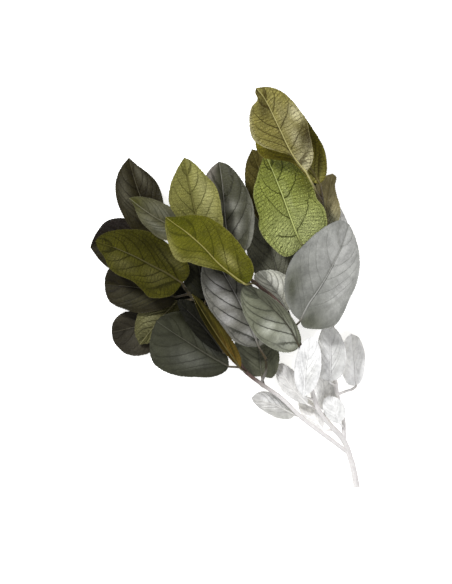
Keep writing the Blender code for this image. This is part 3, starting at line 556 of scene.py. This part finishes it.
def smooth_line(rows):
    """A Catmull-Rom curve through the rows, as rows close together."""
    rows = np.vstack([2 * rows[0] - rows[1], rows, 2 * rows[-1] - rows[-2]])
    t = (np.arange(SAMPLES_PER_SPAN) / SAMPLES_PER_SPAN)[:, None]
    spans = []
    for p0, p1, p2, p3 in zip(rows, rows[1:], rows[2:], rows[3:]):
        spans.append(
            0.5 * (2 * p1 + (p2 - p0) * t + (2 * p0 - 5 * p1 + 4 * p2 - p3) * t ** 2
                   + (3 * p1 - p0 - 3 * p2 + p3) * t ** 3)
        )
    return np.vstack([*spans, rows[-2]])


def unit(rows):
    return rows / np.maximum(np.linalg.norm(rows, axis=-1, keepdims=True), 1e-9)


class Line:
    """A smooth line, read by the share of its length."""

    def __init__(self, rows):
        self.rows = smooth_line(np.array(rows, float))
        steps = np.linalg.norm(np.diff(self.rows[:, :3], axis=0), axis=1)
        self.length = steps.sum()
        self.walked = np.concatenate([[0], np.cumsum(steps)]) / self.length

    def at(self, share):
        return np.column_stack([np.interp(share, self.walked, column) for column in self.rows.T])


class Blade:
    """A leaf's blade: u runs from its base to its tip and v from its left margin to its right."""

    def __init__(self, leaf, number):
        self.leaf = leaf
        self.rib, self.left, self.right = (
            Line(from_plan([point[:2] for point in (leaf.base, *between, leaf.tip)]))
            for between in (leaf.midrib, leaf.left, leaf.right)
        )
        self.chance = np.random.default_rng(1000 + number)
        self.rise = {side: VEIN_RISE * self.chance.uniform(0.9, 1.4) for side in (-1, 1)}
        self.starts = {}
        for side in (-1, 1):
            jitter = self.chance.uniform(-VEIN_JITTER, VEIN_JITTER, len(SIDE_VEINS))
            self.starts[side] = np.sort(np.array(SIDE_VEINS) + jitter + VEIN_STAGGER * side)
        for side, veins in zip((-1, 1), OWN_VEINS.get(leaf.name, ())):
            self.starts[side], self.rise[side] = np.array(veins).T

    def midrib(self, u):
        base, tip = self.leaf.base[2], self.leaf.tip[2]
        height = base + (tip - base) * u + self.leaf.bow * 4 * u * (1 - u)
        return np.column_stack([self.rib.at(u), height])

    def reach(self, line, side, u, centre, across):
        """From the midrib to one margin, kept from folding over the midrib at the ends."""
        out = line.at(u) - centre[:, :2]
        short = np.maximum(TIP_HALF_WIDTH - (out * across).sum(1) * side, 0)
        return out + across * side * short[:, None]

    def vein_count(self, u, v, side):
        """How many side veins lie nearer the base: whole on a vein, and halfway between two veins."""
        starts = self.starts[side]
        counts = [-0.5, *range(len(starts)), len(starts) - 0.5]
        count, gaps = np.empty_like(u), np.empty_like(u)
        for column, far in enumerate(np.abs(v[0])):
            reached = starts + self.rise[side] * (1 - starts) ** 0.75 * far ** 1.15
            count[:, column] = np.interp(u[:, column], [reached[0] - 0.5, *reached, 1.2], counts)
            gap = np.maximum(np.diff(reached), np.diff(starts))
            gaps[:, column] = np.interp(u[:, column], (reached[1:] + reached[:-1]) / 2, gap)
        return count, gaps

    def surface(self, u, v):
        """The blade's upper face on a grid of u by v, with the places that its material reads."""
        leaf = self.leaf
        centre = self.midrib(u)
        ahead = self.midrib(np.minimum(u + 0.02, 1)) - self.midrib(np.maximum(u - 0.02, 0))
        across = unit(np.column_stack([ahead[:, 1], -ahead[:, 0]]))
        left = self.reach(self.left, -1, u, centre, across)
        right = self.reach(self.right, 1, u, centre, across)
        out = np.where(v[None, :, None] < 0, left[:, None], right[:, None])
        width = np.linalg.norm(out, axis=2)
        u, v = np.meshgrid(u, v, indexing="ij")
        side = np.where(v < 0, -1, 1)
        far = np.abs(v)
        offset = width * v
        teeth = TOOTH_DEPTH * (1 - 2 * np.mod(u * self.left.length / TOOTH_PITCH, 1)) * far ** 24
        plan = centre[:, None, :2] + out * (far * (1 + teeth / np.maximum(width, 2)))[..., None]
        slope = np.tan(np.radians(leaf.fold - side * leaf.tilt))
        height = (np.hypot(offset, RIB_ROUNDING) - RIB_ROUNDING) * slope
        ends = np.minimum(1, np.minimum(4 * u, 4 * (1 - u)))
        height = height + leaf.wave * v * v * np.sin(2 * np.pi * (2.5 * u + 0.25 * side)) * ends
        height = height - MARGIN_ROLL * far ** 6 * ends
        counts, gaps = zip(*[self.vein_count(u, v, one) for one in (-1, 1)])
        count, gap = (np.where(v < 0, *pair) for pair in (counts, gaps))
        inside = np.sin(np.pi * np.clip(far * 0.98 + 0.05, 0, 1)) ** 0.7
        quilt = np.abs(np.sin(np.pi * count)) ** 0.7 * inside
        height = height + FINISHES[leaf.name].quilt * (quilt - 0.5) * ends * np.minimum(width / 20, 1)
        bend = self.chance.uniform(0, 2 * np.pi, 4)
        roll = np.sin(offset / 7 + bend[0] + u * 5) * np.sin(u * self.rib.length / 9 + bend[1])
        height = height + ROLL_HEIGHT * roll * ends * far
        groove = RIB_GROOVE * np.exp(-np.abs(offset) / GROOVE_REACH)
        height = height - groove * (1 - 0.5 * u) * np.minimum(width / 12, 1)
        point = np.dstack([plan, centre[:, 2][:, None] + height])
        place = np.dstack([u * self.rib.length + 200 * self.chance.random(), offset, far])
        veins = np.dstack([*counts, gap * self.rib.length * 0.75])
        return point, place, veins, u, v


def put(mesh, name, rows):
    """Stores three numbers for each of the mesh's points, for its materials to read."""
    layer = mesh.attributes.new(name, "FLOAT_VECTOR", "POINT")
    layer.data.foreach_set("vector", np.asarray(rows, np.float32).ravel())


def grid_faces(rows, columns, first):
    """Quads over a grid of points numbered row by row."""
    i, j = np.meshgrid(np.arange(rows - 1), np.arange(columns - 1), indexing="ij")
    corner = (first + i * columns + j).ravel()
    return np.column_stack([corner, corner + 1, corner + columns + 1, corner + columns])


def tube(path, radii, sides):
    """Rings of points along a path, none of them below the table."""
    along = unit(np.gradient(path, axis=0))
    across = unit(np.cross(along, (0, 0, 1.0)))
    over = np.cross(across, along)
    angle = np.linspace(0, 2 * np.pi, sides, endpoint=False)
    turn = across[:, None] * np.cos(angle)[None, :, None] + over[:, None] * np.sin(angle)[None, :, None]
    rings = path[:, None] + turn * (radii if np.ndim(radii) == 2 else radii[:, None])[..., None]
    rings[..., 2] += np.maximum(0, TABLE_GAP - rings[..., 2])
    return rings


def tube_faces(rings, sides, first):
    i, j = np.meshgrid(np.arange(rings - 1), np.arange(sides), indexing="ij")
    here = (first + i * sides + j).ravel()
    beside = (first + i * sides + (j + 1) % sides).ravel()
    return np.column_stack([here, beside, beside + sides, here + sides])


def make_object(name, points, faces, materials):
    """A smooth mesh object. Its points are given in millimetres."""
    mesh = bpy.data.meshes.new(name)
    mesh.from_pydata((np.array(points) * MM).tolist(), [], faces)
    mesh.update()
    for material in materials:
        mesh.materials.append(material)
    mesh.shade_smooth()
    made = bpy.data.objects.new(name, mesh)
    bpy.context.scene.collection.objects.link(made)
    return made


def petiole(blade):
    """The path and radii of a petiole, from inside the bark to under the blade's midrib."""
    leaf = blade.leaf
    branch = smooth_line(from_plan(BRANCHES[leaf.branch]))[:, :3]
    base = from_plan([leaf.base])[0]
    nearest = len(branch) - 1
    if leaf.lag > 0:
        nearest = int(np.argmin(np.linalg.norm(branch - base, axis=1)))
    walked = 0.0
    while nearest > 0 and walked < leaf.lag:
        walked += np.linalg.norm(branch[nearest] - branch[nearest - 1])
        nearest -= 1
    root = branch[nearest]
    under = blade.midrib(np.array(UNDER_SHARES))
    under[:, 2] -= UNDER_DEPTHS
    line = Line(np.vstack([root, root * 0.6 + base * 0.4, base - (0, 0, 0.3), under]))
    share = np.linspace(0, 1, max(24, int(line.length / PETIOLE_SPACING)))
    radii = np.interp(share, [0, 0.25, 0.5, 1], [PETIOLE_RADIUS * 1.05, PETIOLE_RADIUS * 0.95, 0.65, 0.25])
    radii = radii + 0.45 * np.exp(-(share * line.length / 4) ** 2)
    return line.at(share), radii


def leaf_grid(leaf, number):
    """Where the points of the leaf's blade are in u and v, closer together at its ends and midrib."""
    # Its width is measured on a blade of its own, so that the leaf's random draws start afresh.
    blade = Blade(leaf, number)
    rows = max(40, int(blade.rib.length / POINT_SPACING))
    margins = blade.surface(np.array([0.5]), np.array([-1.0, 1.0]))[0][0]
    columns = 2 * max(10, int(np.linalg.norm(margins[1] - margins[0]) / POINT_SPACING / 3)) + 1
    eased = 0.5 - 0.5 * np.cos(np.pi * np.linspace(0.01, 1, rows))
    even = np.linspace(-1, 1, columns)
    return 0.5 * eased + 0.5 * np.linspace(0.002, 1, rows), np.sign(even) * np.abs(even) ** 1.15


def make_leaf(leaf, number):
    """One leaf: a veined blade with its underside and its petiole, as one piece."""
    blade = Blade(leaf, number)
    upper, place, veins, us, vs = blade.surface(*leaf_grid(leaf, number))
    rows, columns = us.shape
    normal = unit(np.cross(np.gradient(upper, axis=1), np.gradient(upper, axis=0)))
    normal *= np.sign(normal[..., 2:3] + 1e-9)
    count = np.where(vs < 0, veins[..., 0], veins[..., 1])
    to_vein = np.abs(count - np.round(count)) * veins[..., 2]
    thick = BLADE_THICKNESS * (1 - 0.4 * np.abs(vs) ** 6)
    thick = thick + 0.8 * np.exp(-(place[..., 1] / 0.9) ** 2) * (1 - us)
    thick = thick + 0.25 * np.exp(-(to_vein / 0.8) ** 2) * (1 - np.abs(vs) ** 3)
    lower = upper - normal * thick[..., None]
    pressed = np.maximum(0, TABLE_GAP - np.minimum(upper[..., 2], lower[..., 2]))
    upper[..., 2] += pressed
    lower[..., 2] += pressed
    path, radii = petiole(blade)
    stalk = tube(path, radii, PETIOLE_SIDES)

    grid = rows * columns
    points = np.vstack([part.reshape(-1, 3) for part in (upper, lower, stalk)])
    top = grid_faces(rows, columns, 0)[:, ::-1]
    bottom = grid_faces(rows, columns, grid)
    i = np.arange(rows - 1) * columns
    left = np.column_stack([i, i + columns, grid + i + columns, grid + i])
    right = left[:, ::-1] + columns - 1
    j = np.arange(columns - 1)
    foot = np.column_stack([j + 1, j, grid + j, grid + j + 1])
    end = foot[:, ::-1] + (rows - 1) * columns
    tubes = tube_faces(len(path), PETIOLE_SIDES, 2 * grid)
    faces = [face for part in (top, bottom, left, right, foot, end, tubes) for face in part.tolist()]
    ring = np.arange(PETIOLE_SIDES)
    faces += [(2 * grid + ring)[::-1].tolist(), (len(points) - PETIOLE_SIDES + ring).tolist()]

    materials = [make(leaf) for make in (blade_material, underside_material, petiole_material)]
    made = make_object(leaf.name + "_blade", points, faces, materials)
    index = np.zeros(len(faces), np.int32)
    index[len(top):len(top) + len(bottom)] = 1
    index[len(faces) - len(tubes) - 2:] = 2
    made.data.polygons.foreach_set("material_index", index)
    # The weights of the first and second colours' places, which lay the leaf's own blotches of tone and also
    # painted shadows and highlights, and the share along the midrib.
    looks = np.zeros((rows, columns, 3))
    for which, along, over, reach_along, reach_over, *strength in FINISHES[leaf.name].places:
        weight = np.exp(-((us - along) / reach_along) ** 2 - ((vs - over) / reach_over) ** 2)
        weight = weight * sum(strength or [1.0])
        looks[..., which - 1] = np.maximum(looks[..., which - 1], weight)
    looks[..., 2] = us
    blank = np.zeros((len(path) * PETIOLE_SIDES, 3))
    from_bark = blank.copy()
    from_bark[:, 0] = np.repeat(np.linspace(0, 30, len(path)), PETIOLE_SIDES)
    for name, face, rest in (
        ("leaf_place", place, from_bark), ("leaf_veins", veins, blank), ("leaf_looks", looks, blank),
    ):
        put(made.data, name, np.vstack([face.reshape(-1, 3)] * 2 + [rest]))
    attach(made, "root")
    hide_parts(leaf.name)
    "leaf_" + leaf.tone


class Value:
    """A number, colour or place that varies over a surface. Sums and products of it make more nodes."""

    def __init__(self, kit, socket):
        self.kit = kit
        self.socket = socket

    def __add__(self, other):
        return self.kit.maths("ADD", self, other)

    def __sub__(self, other):
        return self.kit.maths("SUBTRACT", self, other)

    def __rsub__(self, other):
        return self.kit.maths("SUBTRACT", other, self)

    def __mul__(self, other):
        return self.kit.maths("MULTIPLY", self, other)

    def __truediv__(self, other):
        return self.kit.maths("DIVIDE", self, other)

    def __abs__(self):
        return self.kit.maths("ABSOLUTE", self)


class Kit:
    """Short ways to make and join the nodes of one material."""

    def __init__(self, name):
        self.material = bpy.data.materials.new(name)
        self.material.use_nodes = True
        self.tree = self.material.node_tree
        self.shader = self.tree.nodes["Principled BSDF"]

    def feed(self, node, values):
        """Sets or joins the named or numbered inputs of a node."""
        for key, value in values.items():
            if isinstance(value, Value):
                self.tree.links.new(value.socket, node.inputs[key])
            else:
                node.inputs[key].default_value = value

    def add(self, kind, values, output=0, **settings):
        """What comes out of a new node with these inputs and settings."""
        node = self.tree.nodes.new(kind)
        for name, value in settings.items():
            setattr(node, name, value)
        self.feed(node, values)
        return Value(self, node.outputs[output])

    def maths(self, operation, *values):
        return self.add("ShaderNodeMath", dict(enumerate(values)), operation=operation)

    def vectors(self, operation, values):
        return self.add("ShaderNodeVectorMath", values, operation=operation)

    def step(self, value, low, high, at_low=0.0, at_high=1.0):
        """Goes smoothly from at_low to at_high while value goes from low to high."""
        ends = dict(enumerate((value, low, high, at_low, at_high)))
        return self.add("ShaderNodeMapRange", ends, interpolation_type="SMOOTHSTEP")

    def mix(self, share, first, second, blend="MIX"):
        """A mix node's sockets 6 and 7 take its two colours, and socket 2 gives the mixed one."""
        ends = {0: share, 6: first, 7: second}
        return self.add("ShaderNodeMix", ends, 2, data_type="RGBA", blend_type=blend)

    def parts(self, place):
        """The three numbers of a place."""
        node = self.tree.nodes.new("ShaderNodeSeparateXYZ")
        self.feed(node, {0: place})
        return [Value(self, socket) for socket in node.outputs]

    def read(self, name):
        """What is stored under this name, whole and as its three numbers."""
        found = self.add("ShaderNodeAttribute", {}, "Vector", attribute_name=name)
        return found, *self.parts(found)

    def noise(self, place, scale, detail=3.0, rough=0.5, output=0):
        values = {"Vector": place, "Scale": scale, "Detail": detail, "Roughness": rough}
        return self.add("ShaderNodeTexNoise", values, output)

    def cells(self, place, scale):
        """How far each point is from the nearest edge of an irregular net of cells."""
        return self.add("ShaderNodeTexVoronoi", {"Vector": place, "Scale": scale}, voronoi_dimensions="2D",
                        feature="DISTANCE_TO_EDGE")

    def warped(self, place, amount, scale):
        """The place, pushed about by a soft noise."""
        push = self.noise(place, scale, 2.0, output=1)
        centred = self.vectors("SUBTRACT", {0: push, 1: (0.5, 0.5, 0.5)})
        return self.vectors("ADD", {0: place, 1: self.vectors("SCALE", {0: centred, "Scale": amount})})

    def finish(self, base, height, roughness):
        """Sets the colour, the relief in millimetres and the roughness, and gives back the material."""
        relief = self.add("ShaderNodeBump", {"Distance": MM, "Height": height})
        self.feed(self.shader, {"Base Color": base, "Normal": relief, "Roughness": roughness})
        return self.material


Veins = namedtuple("Veins", "place offset far count to_vein rib main net fine")


def read_veins(kit):
    """How strongly the midrib, the side veins and the nets of fine veins show at each point."""
    place, _, offset, far = kit.read("leaf_place")
    _, left, right, gap = kit.read("leaf_veins")
    along = kit.read("leaf_looks")[3]
    across = abs(offset)
    wobble = (kit.noise(place, 0.25, 2.0) - 0.5) * 0.16
    count = left + kit.maths("GREATER_THAN", offset, 0.0) * (right - left) + wobble
    middle = abs(kit.maths("FRACT", count + 0.5) - 0.5)
    to_vein = middle * gap
    rib = kit.step(across / (1.15 - along * 0.65), *RIB_EDGE, 1.0, 0.0)
    side = kit.step(to_vein, *VEIN_EDGE, 1.0, 0.0) * kit.step(far, 0.55, 0.95, 1.0, 0.15)
    apart = 1.0 - middle * 2.0
    width = across / kit.maths("MAXIMUM", far, 0.02)
    to_arch = abs(far - (0.92 - apart * apart * 0.14)) * width
    main = kit.maths("MAXIMUM", side, kit.step(to_arch, 0.1, 0.6, 0.5, 0.0))
    net = kit.cells(kit.warped(place, 2.2, 0.35), NET_SCALE)
    fine = kit.cells(kit.warped(place, 0.5, 0.9), FINE_SCALE)
    return Veins(place, offset, far, count, to_vein, rib, main, net, fine)


def blade_material(leaf):
    """The upper face: waxed leather colours, darker veins in grooves, and cells that stand up. Its colours
    also hold painted shade beside the veins and the midrib, and painted glints.
    """
    kit = Kit(leaf.name + "_upper")
    finish = FINISHES[leaf.name]
    seen = read_veins(kit)
    _, first, second, _ = kit.read("leaf_looks")
    body, one, two, veins, ribs, rim = [colour(*tone, finish.lit, finish.shine) for tone in finish[:6]]
    cloud = kit.noise(seen.place, 0.07)
    grain = kit.noise(seen.place, 0.8, 4.0, 0.6)
    speck = kit.noise(seen.place, 0.7, 3.0, 0.7)
    drift = kit.noise(seen.place, 0.17, 3.0, 0.55)
    mottle = 0.05 + 0.22 * finish.net
    shade = kit.step(cloud, 0.25, 0.75, 0.8, 1.16) + kit.step(speck, 0.3, 0.7, -mottle, mottle)
    shade = shade + kit.step(drift, 0.32, 0.68, -0.13, 0.13)
    # Painted shade: the blade is darker near its veins, fading out over SHADE_REACH, as if the hollows there
    # were shaded, and a little paler between them.
    painted_vein_shade = 1.0 - 0.09 * finish.quilt
    shade = shade * kit.step(seen.to_vein, 0.0, SHADE_REACH, painted_vein_shade, 1.0 + 0.02 * finish.quilt)
    light = kit.add("ShaderNodeCombineXYZ", {0: shade, 1: shade, 2: shade})
    # The body under the first and second colours, which hold tone and also painted shadows and highlights,
    # times the shade.
    base = kit.mix(1.0, kit.mix(second, kit.mix(first, body, one), two), light, "MULTIPLY")

    # Painted glints: pale highlights on the cells, stronger where the second colour lies, and fine rungs
    # that run from one side vein towards the next.
    painted_glints = kit.step(speck, 0.46, 0.7) * kit.step(seen.net, 0.05, 0.3, 0.0, 0.7 * finish.net)
    base = kit.mix(painted_glints * (second + 0.6), base, two)
    run = kit.parts(kit.warped(seen.place, 3.4, 0.28))[0]
    rung = kit.maths("FRACT", run / RUNG_PITCH + kit.maths("FLOOR", seen.count) * 0.37)
    rungs = kit.step(abs(rung - 0.5), 0.03, 0.21, 1.0, 0.0) * kit.step(drift, 0.36, 0.6, 0.25, 1.0)

    # The nets of veins, from the finest to the midrib, with a painted shadow beside it on its left, and the
    # rim.
    lines = kit.step(seen.net, 0.02, 0.2, 1.0, 0.0) * (0.1 + 0.7 * finish.net)
    lines = kit.maths("MAXIMUM", lines, rungs * min(0.05 + 2.1 * finish.net, 1.0))
    thin = kit.step(seen.fine, 0.0, 0.2, 1.0, 0.0) * (0.6 * finish.net)
    base = kit.mix(kit.maths("MAXIMUM", lines, thin) * 0.85, base, veins)
    base = kit.mix(seen.main * min(0.2 + 0.25 * finish.quilt + 0.9 * finish.net, 0.85), base, veins)
    # Painted shadow: a darker band along the left of the midrib, as if its groove shaded that side.
    beside = kit.step(seen.offset, -3.0, -0.9) * kit.step(seen.offset, -0.8, -0.2, 1.0, 0.0)
    base = kit.mix(beside * 0.5, base, veins)
    base = kit.mix(seen.rib * 0.85, base, ribs)
    base = kit.mix(kit.step(seen.far, 0.97, 0.995, 0.0, 0.7), base, rim)

    # The relief: cells stand up like small pillows, and veins lie in grooves.
    pillow = kit.step(seen.net, 0.0, 0.34, 0.0, finish.net * 1.3)
    small = kit.step(seen.fine, 0.0, 0.3, 0.0, finish.net * 0.7)
    depth = 0.1 + 0.4 * finish.quilt + 0.4 * finish.net
    grooves = seen.main * depth + rungs * (finish.net * 0.9)
    kit.feed(kit.shader, {"Specular IOR Level": finish.shine})
    roughness = kit.step(grain, 0.2, 0.8, finish.rough - 0.06, finish.rough + 0.1)
    return kit.finish(base, pillow + small + grain * 0.08 - grooves, roughness)


def underside_material(leaf):
    """The lower face: paler and matt, with its veins standing out."""
    kit = Kit(leaf.name + "_under")
    seen = read_veins(kit)
    red, green, blue = [value * 0.55 + 0.16 for value in colour(*FINISHES[leaf.name].body)[:3]]
    pale = (red, green, blue * 0.9, 1.0)
    ribs = (red * 0.85 + 0.06, green * 0.8 + 0.04, blue * 0.6, 1.0)
    cloud = kit.noise(seen.place, 0.09)
    base = kit.mix(kit.step(cloud, 0.3, 0.7, 0.0, 0.3), pale, ribs)
    base = kit.mix(kit.step(seen.net, 0.02, 0.14, 0.45, 0.0), base, ribs)
    base = kit.mix(kit.maths("MAXIMUM", seen.main, seen.rib) * 0.8, base, ribs)
    lines = kit.step(seen.net, 0.0, 0.15, 0.1, 0.0) + kit.step(seen.fine, 0.0, 0.15, 0.04, 0.0)
    return kit.finish(base, seen.main * -0.25 + lines * -1.0, kit.step(cloud, 0.2, 0.8, 0.62, 0.78))


def petiole_material(leaf):
    """The petiole: brown at the bark, turning to the colour of the blade's midrib."""
    kit = Kit(leaf.name + "_petiole")
    place, along, _, _ = kit.read("leaf_place")
    finish = FINISHES[leaf.name]
    bark = colour(*(BROWN_PETIOLE if min(finish.body) < PALE_LEAF else PALE_PETIOLE))
    grain = kit.noise(place, 1.5)
    # Towards the blade it takes the rib's colour, made paler by the leaf's lit share: painted light.
    base = kit.mix(kit.step(along, 2.0, 9.0, 0.0, 0.9), bark, colour(*finish.rib, max(finish.lit, 0.7)))
    base = kit.mix(kit.step(grain, 0.35, 0.7, 0.0, 0.3), base, colour(*finish.veins))
    return kit.finish(base, grain * 0.15, kit.step(grain, 0.3, 0.7, 0.5, 0.65))


def bark_material():
    """Pinkish grey bark with fine cracks and pale pores, turning near white towards the cut end."""
    kit = Kit("salal_bark")
    place = kit.read("bark_place")[0]
    _, fade, cut, ring = kit.read("bark_looks")
    young = kit.read("bark_age")[1]
    # Cracks and pores are drawn out along the branch.
    stretch = kit.vectors("MULTIPLY", {0: place, 1: (0.22, 1.0, 1.0)})
    streak = kit.noise(stretch, 1.6, 5.0, 0.6)
    cloud = kit.noise(place, 0.12)
    pores = kit.add("ShaderNodeTexVoronoi", {"Vector": stretch, "Scale": 0.9}, "Distance", feature="F1")
    spots = kit.step(pores, 0.1, 0.2, 1.0, 0.0)
    base = kit.mix(kit.step(streak, 0.35, 0.65), *[colour(*tone) for tone in OLD_BARK])
    base = kit.mix(kit.step(cloud, 0.35, 0.7, 0.0, 0.6), base, colour(*BARK_CLOUD))
    shoot = kit.mix(kit.step(streak, 0.35, 0.65), *[colour(*tone) for tone in YOUNG_BARK])
    base = kit.mix(young, base, shoot)
    base = kit.mix(spots * 0.5, base, colour(*PORES))
    bleached = kit.mix(kit.step(streak, 0.3, 0.7), *[colour(*tone, WHITE_END_LIT) for tone in WHITE_END_BARK])
    base = kit.mix(fade, base, bleached)
    circle = kit.maths("SINE", ring * 26.0)
    wood = kit.mix(kit.step(circle, -1.0, 1.0, 0.0, 0.4), *[colour(*tone) for tone in CUT_WOOD])
    wood = kit.mix(kit.step(ring, 0.12, 0.2, 1.0, 0.0), wood, colour(*PITH))
    base = kit.mix(cut, base, wood)
    return kit.finish(base, streak * 0.5 + spots * 0.12, kit.step(streak, 0.3, 0.7, 0.72, 0.88))


def whiteness_near_cut(points):
    """From 0 on the coloured wood to 1 on the near-white wood by the cut end."""
    cut_end = from_plan([BRANCHES["middle"][0]])[0, :2]
    away = np.linalg.norm(points[..., :2] - cut_end, axis=-1)
    return np.clip((COLOURED_BEYOND - away) / (COLOURED_BEYOND - WHITE_WITHIN), 0, 1)


def make_stem():
    """The woody stem: a barked tube for each branch, swollen where leaves leave it and at knots along it."""
    points, places, looks, ages, faces = [], [], [], [], []
    total = 0
    chance = np.random.default_rng(77)
    angle = np.linspace(0, 2 * np.pi, BARK_SIDES, endpoint=False)
    for name, rows in BRANCHES.items():
        line = Line(from_plan(rows))
        count = max(30, int(line.length / BARK_SPACING))
        share = np.linspace(0, 1, count)
        read = line.at(share)
        path, radii = read[:, :3], read[:, 3]
        walked = share * line.length
        swell = np.zeros(count)
        for leaf in LEAVES:
            if leaf.branch == name:
                nearest = int(np.argmin(np.linalg.norm(path - from_plan([leaf.base])[0], axis=1)))
                swell += BASE_SWELLING * np.exp(-((walked - walked[nearest] + leaf.lag) / 2.2) ** 2)
        knots = np.arange(FIRST_KNOT, line.length, KNOT_PITCH)
        for knot in knots + chance.uniform(-3, 3, len(knots)):
            swell += KNOT_SWELLING * np.exp(-((walked - knot) / 1.1) ** 2)
        ridge = 0.045 * np.sin(5 * angle + walked[:, None] / 9)
        ridge = ridge + 0.03 * np.sin(8 * angle - walked[:, None] / 5)
        around = radii[:, None] * (1 + ridge) + np.minimum(swell, MOST_SWELLING)[:, None]
        if name != "middle":
            around[-1] *= 0.75
        ring = tube(path, around, BARK_SIDES)
        from_foot = np.repeat(walked[:, None], BARK_SIDES, 1)
        spot = np.dstack([from_foot, around * np.cos(angle), around * np.sin(angle)])
        shown = np.dstack([whiteness_near_cut(ring), np.zeros((count, BARK_SIDES)), np.ones((count, BARK_SIDES))])
        points.append(ring.reshape(-1, 3))
        places.append(spot.reshape(-1, 3))
        looks.append(shown.reshape(-1, 3))
        age = np.interp(share, YOUNG_FROM[name], (0, 1))
        ages.append(np.repeat(age, BARK_SIDES))
        faces += tube_faces(count, BARK_SIDES, total).tolist()
        total += count * BARK_SIDES
        for end, turned in ((0, True), (count - 1, False)):
            middle = ring[end].mean(0)
            pale = whiteness_near_cut(middle[None])[0]
            disc = tube_faces(3, BARK_SIDES, total)
            for part in (1.0, 0.66, 0.33):
                points.append(middle + (ring[end] - middle) * part)
                places.append(spot[end])
                looks.append(np.tile([pale, 1.0, part], (BARK_SIDES, 1)))
            points.append(middle[None])
            places.append(np.zeros((1, 3)))
            looks.append(np.array([[pale, 1.0, 0.0]]))
            ages.append(np.full(3 * BARK_SIDES + 1, age[end]))
            total += 3 * BARK_SIDES + 1
            corner = total - 1 - BARK_SIDES + np.arange(BARK_SIDES)
            fan = np.column_stack([corner, np.roll(corner, -1), np.full(BARK_SIDES, total - 1)])
            faces += [face[::-1] if turned else face for face in disc.tolist() + fan.tolist()]
    stem = make_object("branched_stem", np.vstack(points), faces, [bark_material()])
    put(stem.data, "bark_place", np.vstack(places))
    put(stem.data, "bark_looks", np.vstack(looks))
    put(stem.data, "bark_age", np.repeat(np.concatenate(ages)[:, None], 3, axis=1))
    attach(stem, "root")
    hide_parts("woody_stem")


def make_floor():
    """A pale floor that glows a little, like a light table."""
    kit = Kit("studio_paper")
    kit.feed(kit.shader, {
        "Base Color": (0.93, 0.93, 0.93, 1.0), "Emission Color": (1.0, 1.0, 1.0, 1.0),
        "Emission Strength": FLOOR_GLOW, "Roughness": 0.9, "Specular IOR Level": 0.1,
    })
    corners = [(x * FLOOR_HALF, y * FLOOR_HALF, 0) for x, y in ((-1, -1), (1, -1), (1, 1), (-1, 1))]
    floor = make_object("studio_floor", corners, [(0, 1, 2, 3)], [kit.material])


def make_light(name, place, aim, size, power):
    data = bpy.data.lights.new(name, "AREA")
    data.shape = "DISK"
    data.size = size
    data.energy = power
    lamp = bpy.data.objects.new(name, data)
    lamp.location = place
    lamp.rotation_mode = "QUATERNION"
    lamp.rotation_quaternion = (Vector(aim) - Vector(place)).to_track_quat("-Z", "Y")
    bpy.context.scene.collection.objects.link(lamp)


def make_studio():
    """A pale floor, a bright even sky, a soft light from the upper left and a weak one opposite."""
    make_floor()
    world = bpy.data.worlds.new("even_sky")
    world.use_nodes = True
    sky = world.node_tree.nodes["Background"]
    sky.inputs["Color"].default_value = (1.0, 1.0, 1.0, 1.0)
    sky.inputs["Strength"].default_value = SKY_STRENGTH
    bpy.context.scene.world = world
    make_light("key_light", place=(-0.95, 1.05, 1.35), aim=(0, 0, 0.03), size=0.45, power=40)
    make_light("fill_light", place=(0.55, -0.6, 0.75), aim=(0.12, -0.1, 0), size=0.6, power=4)
    bpy.context.scene.view_settings.view_transform = "Standard"


def make_camera():
    """Looks straight down on the picture's middle, so that one unit of the plan is one pixel."""
    data = bpy.data.cameras.new("camera")
    data.lens = SENSOR_WIDTH * (CAMERA_HEIGHT - SHARP_HEIGHT) / max(PICTURE)
    data.clip_end = 20
    camera = bpy.data.objects.new("camera", data)
    middle = from_plan([(PICTURE[0] / 2, PICTURE[1] / 2)])[0] * MM
    camera.location = (middle[0], middle[1], CAMERA_HEIGHT * MM)
    bpy.context.scene.collection.objects.link(camera)
    bpy.context.scene.camera = camera


make_camera()
make_studio()
make_stem()
for number, leaf in enumerate(LEAVES):
    make_leaf(leaf, number)
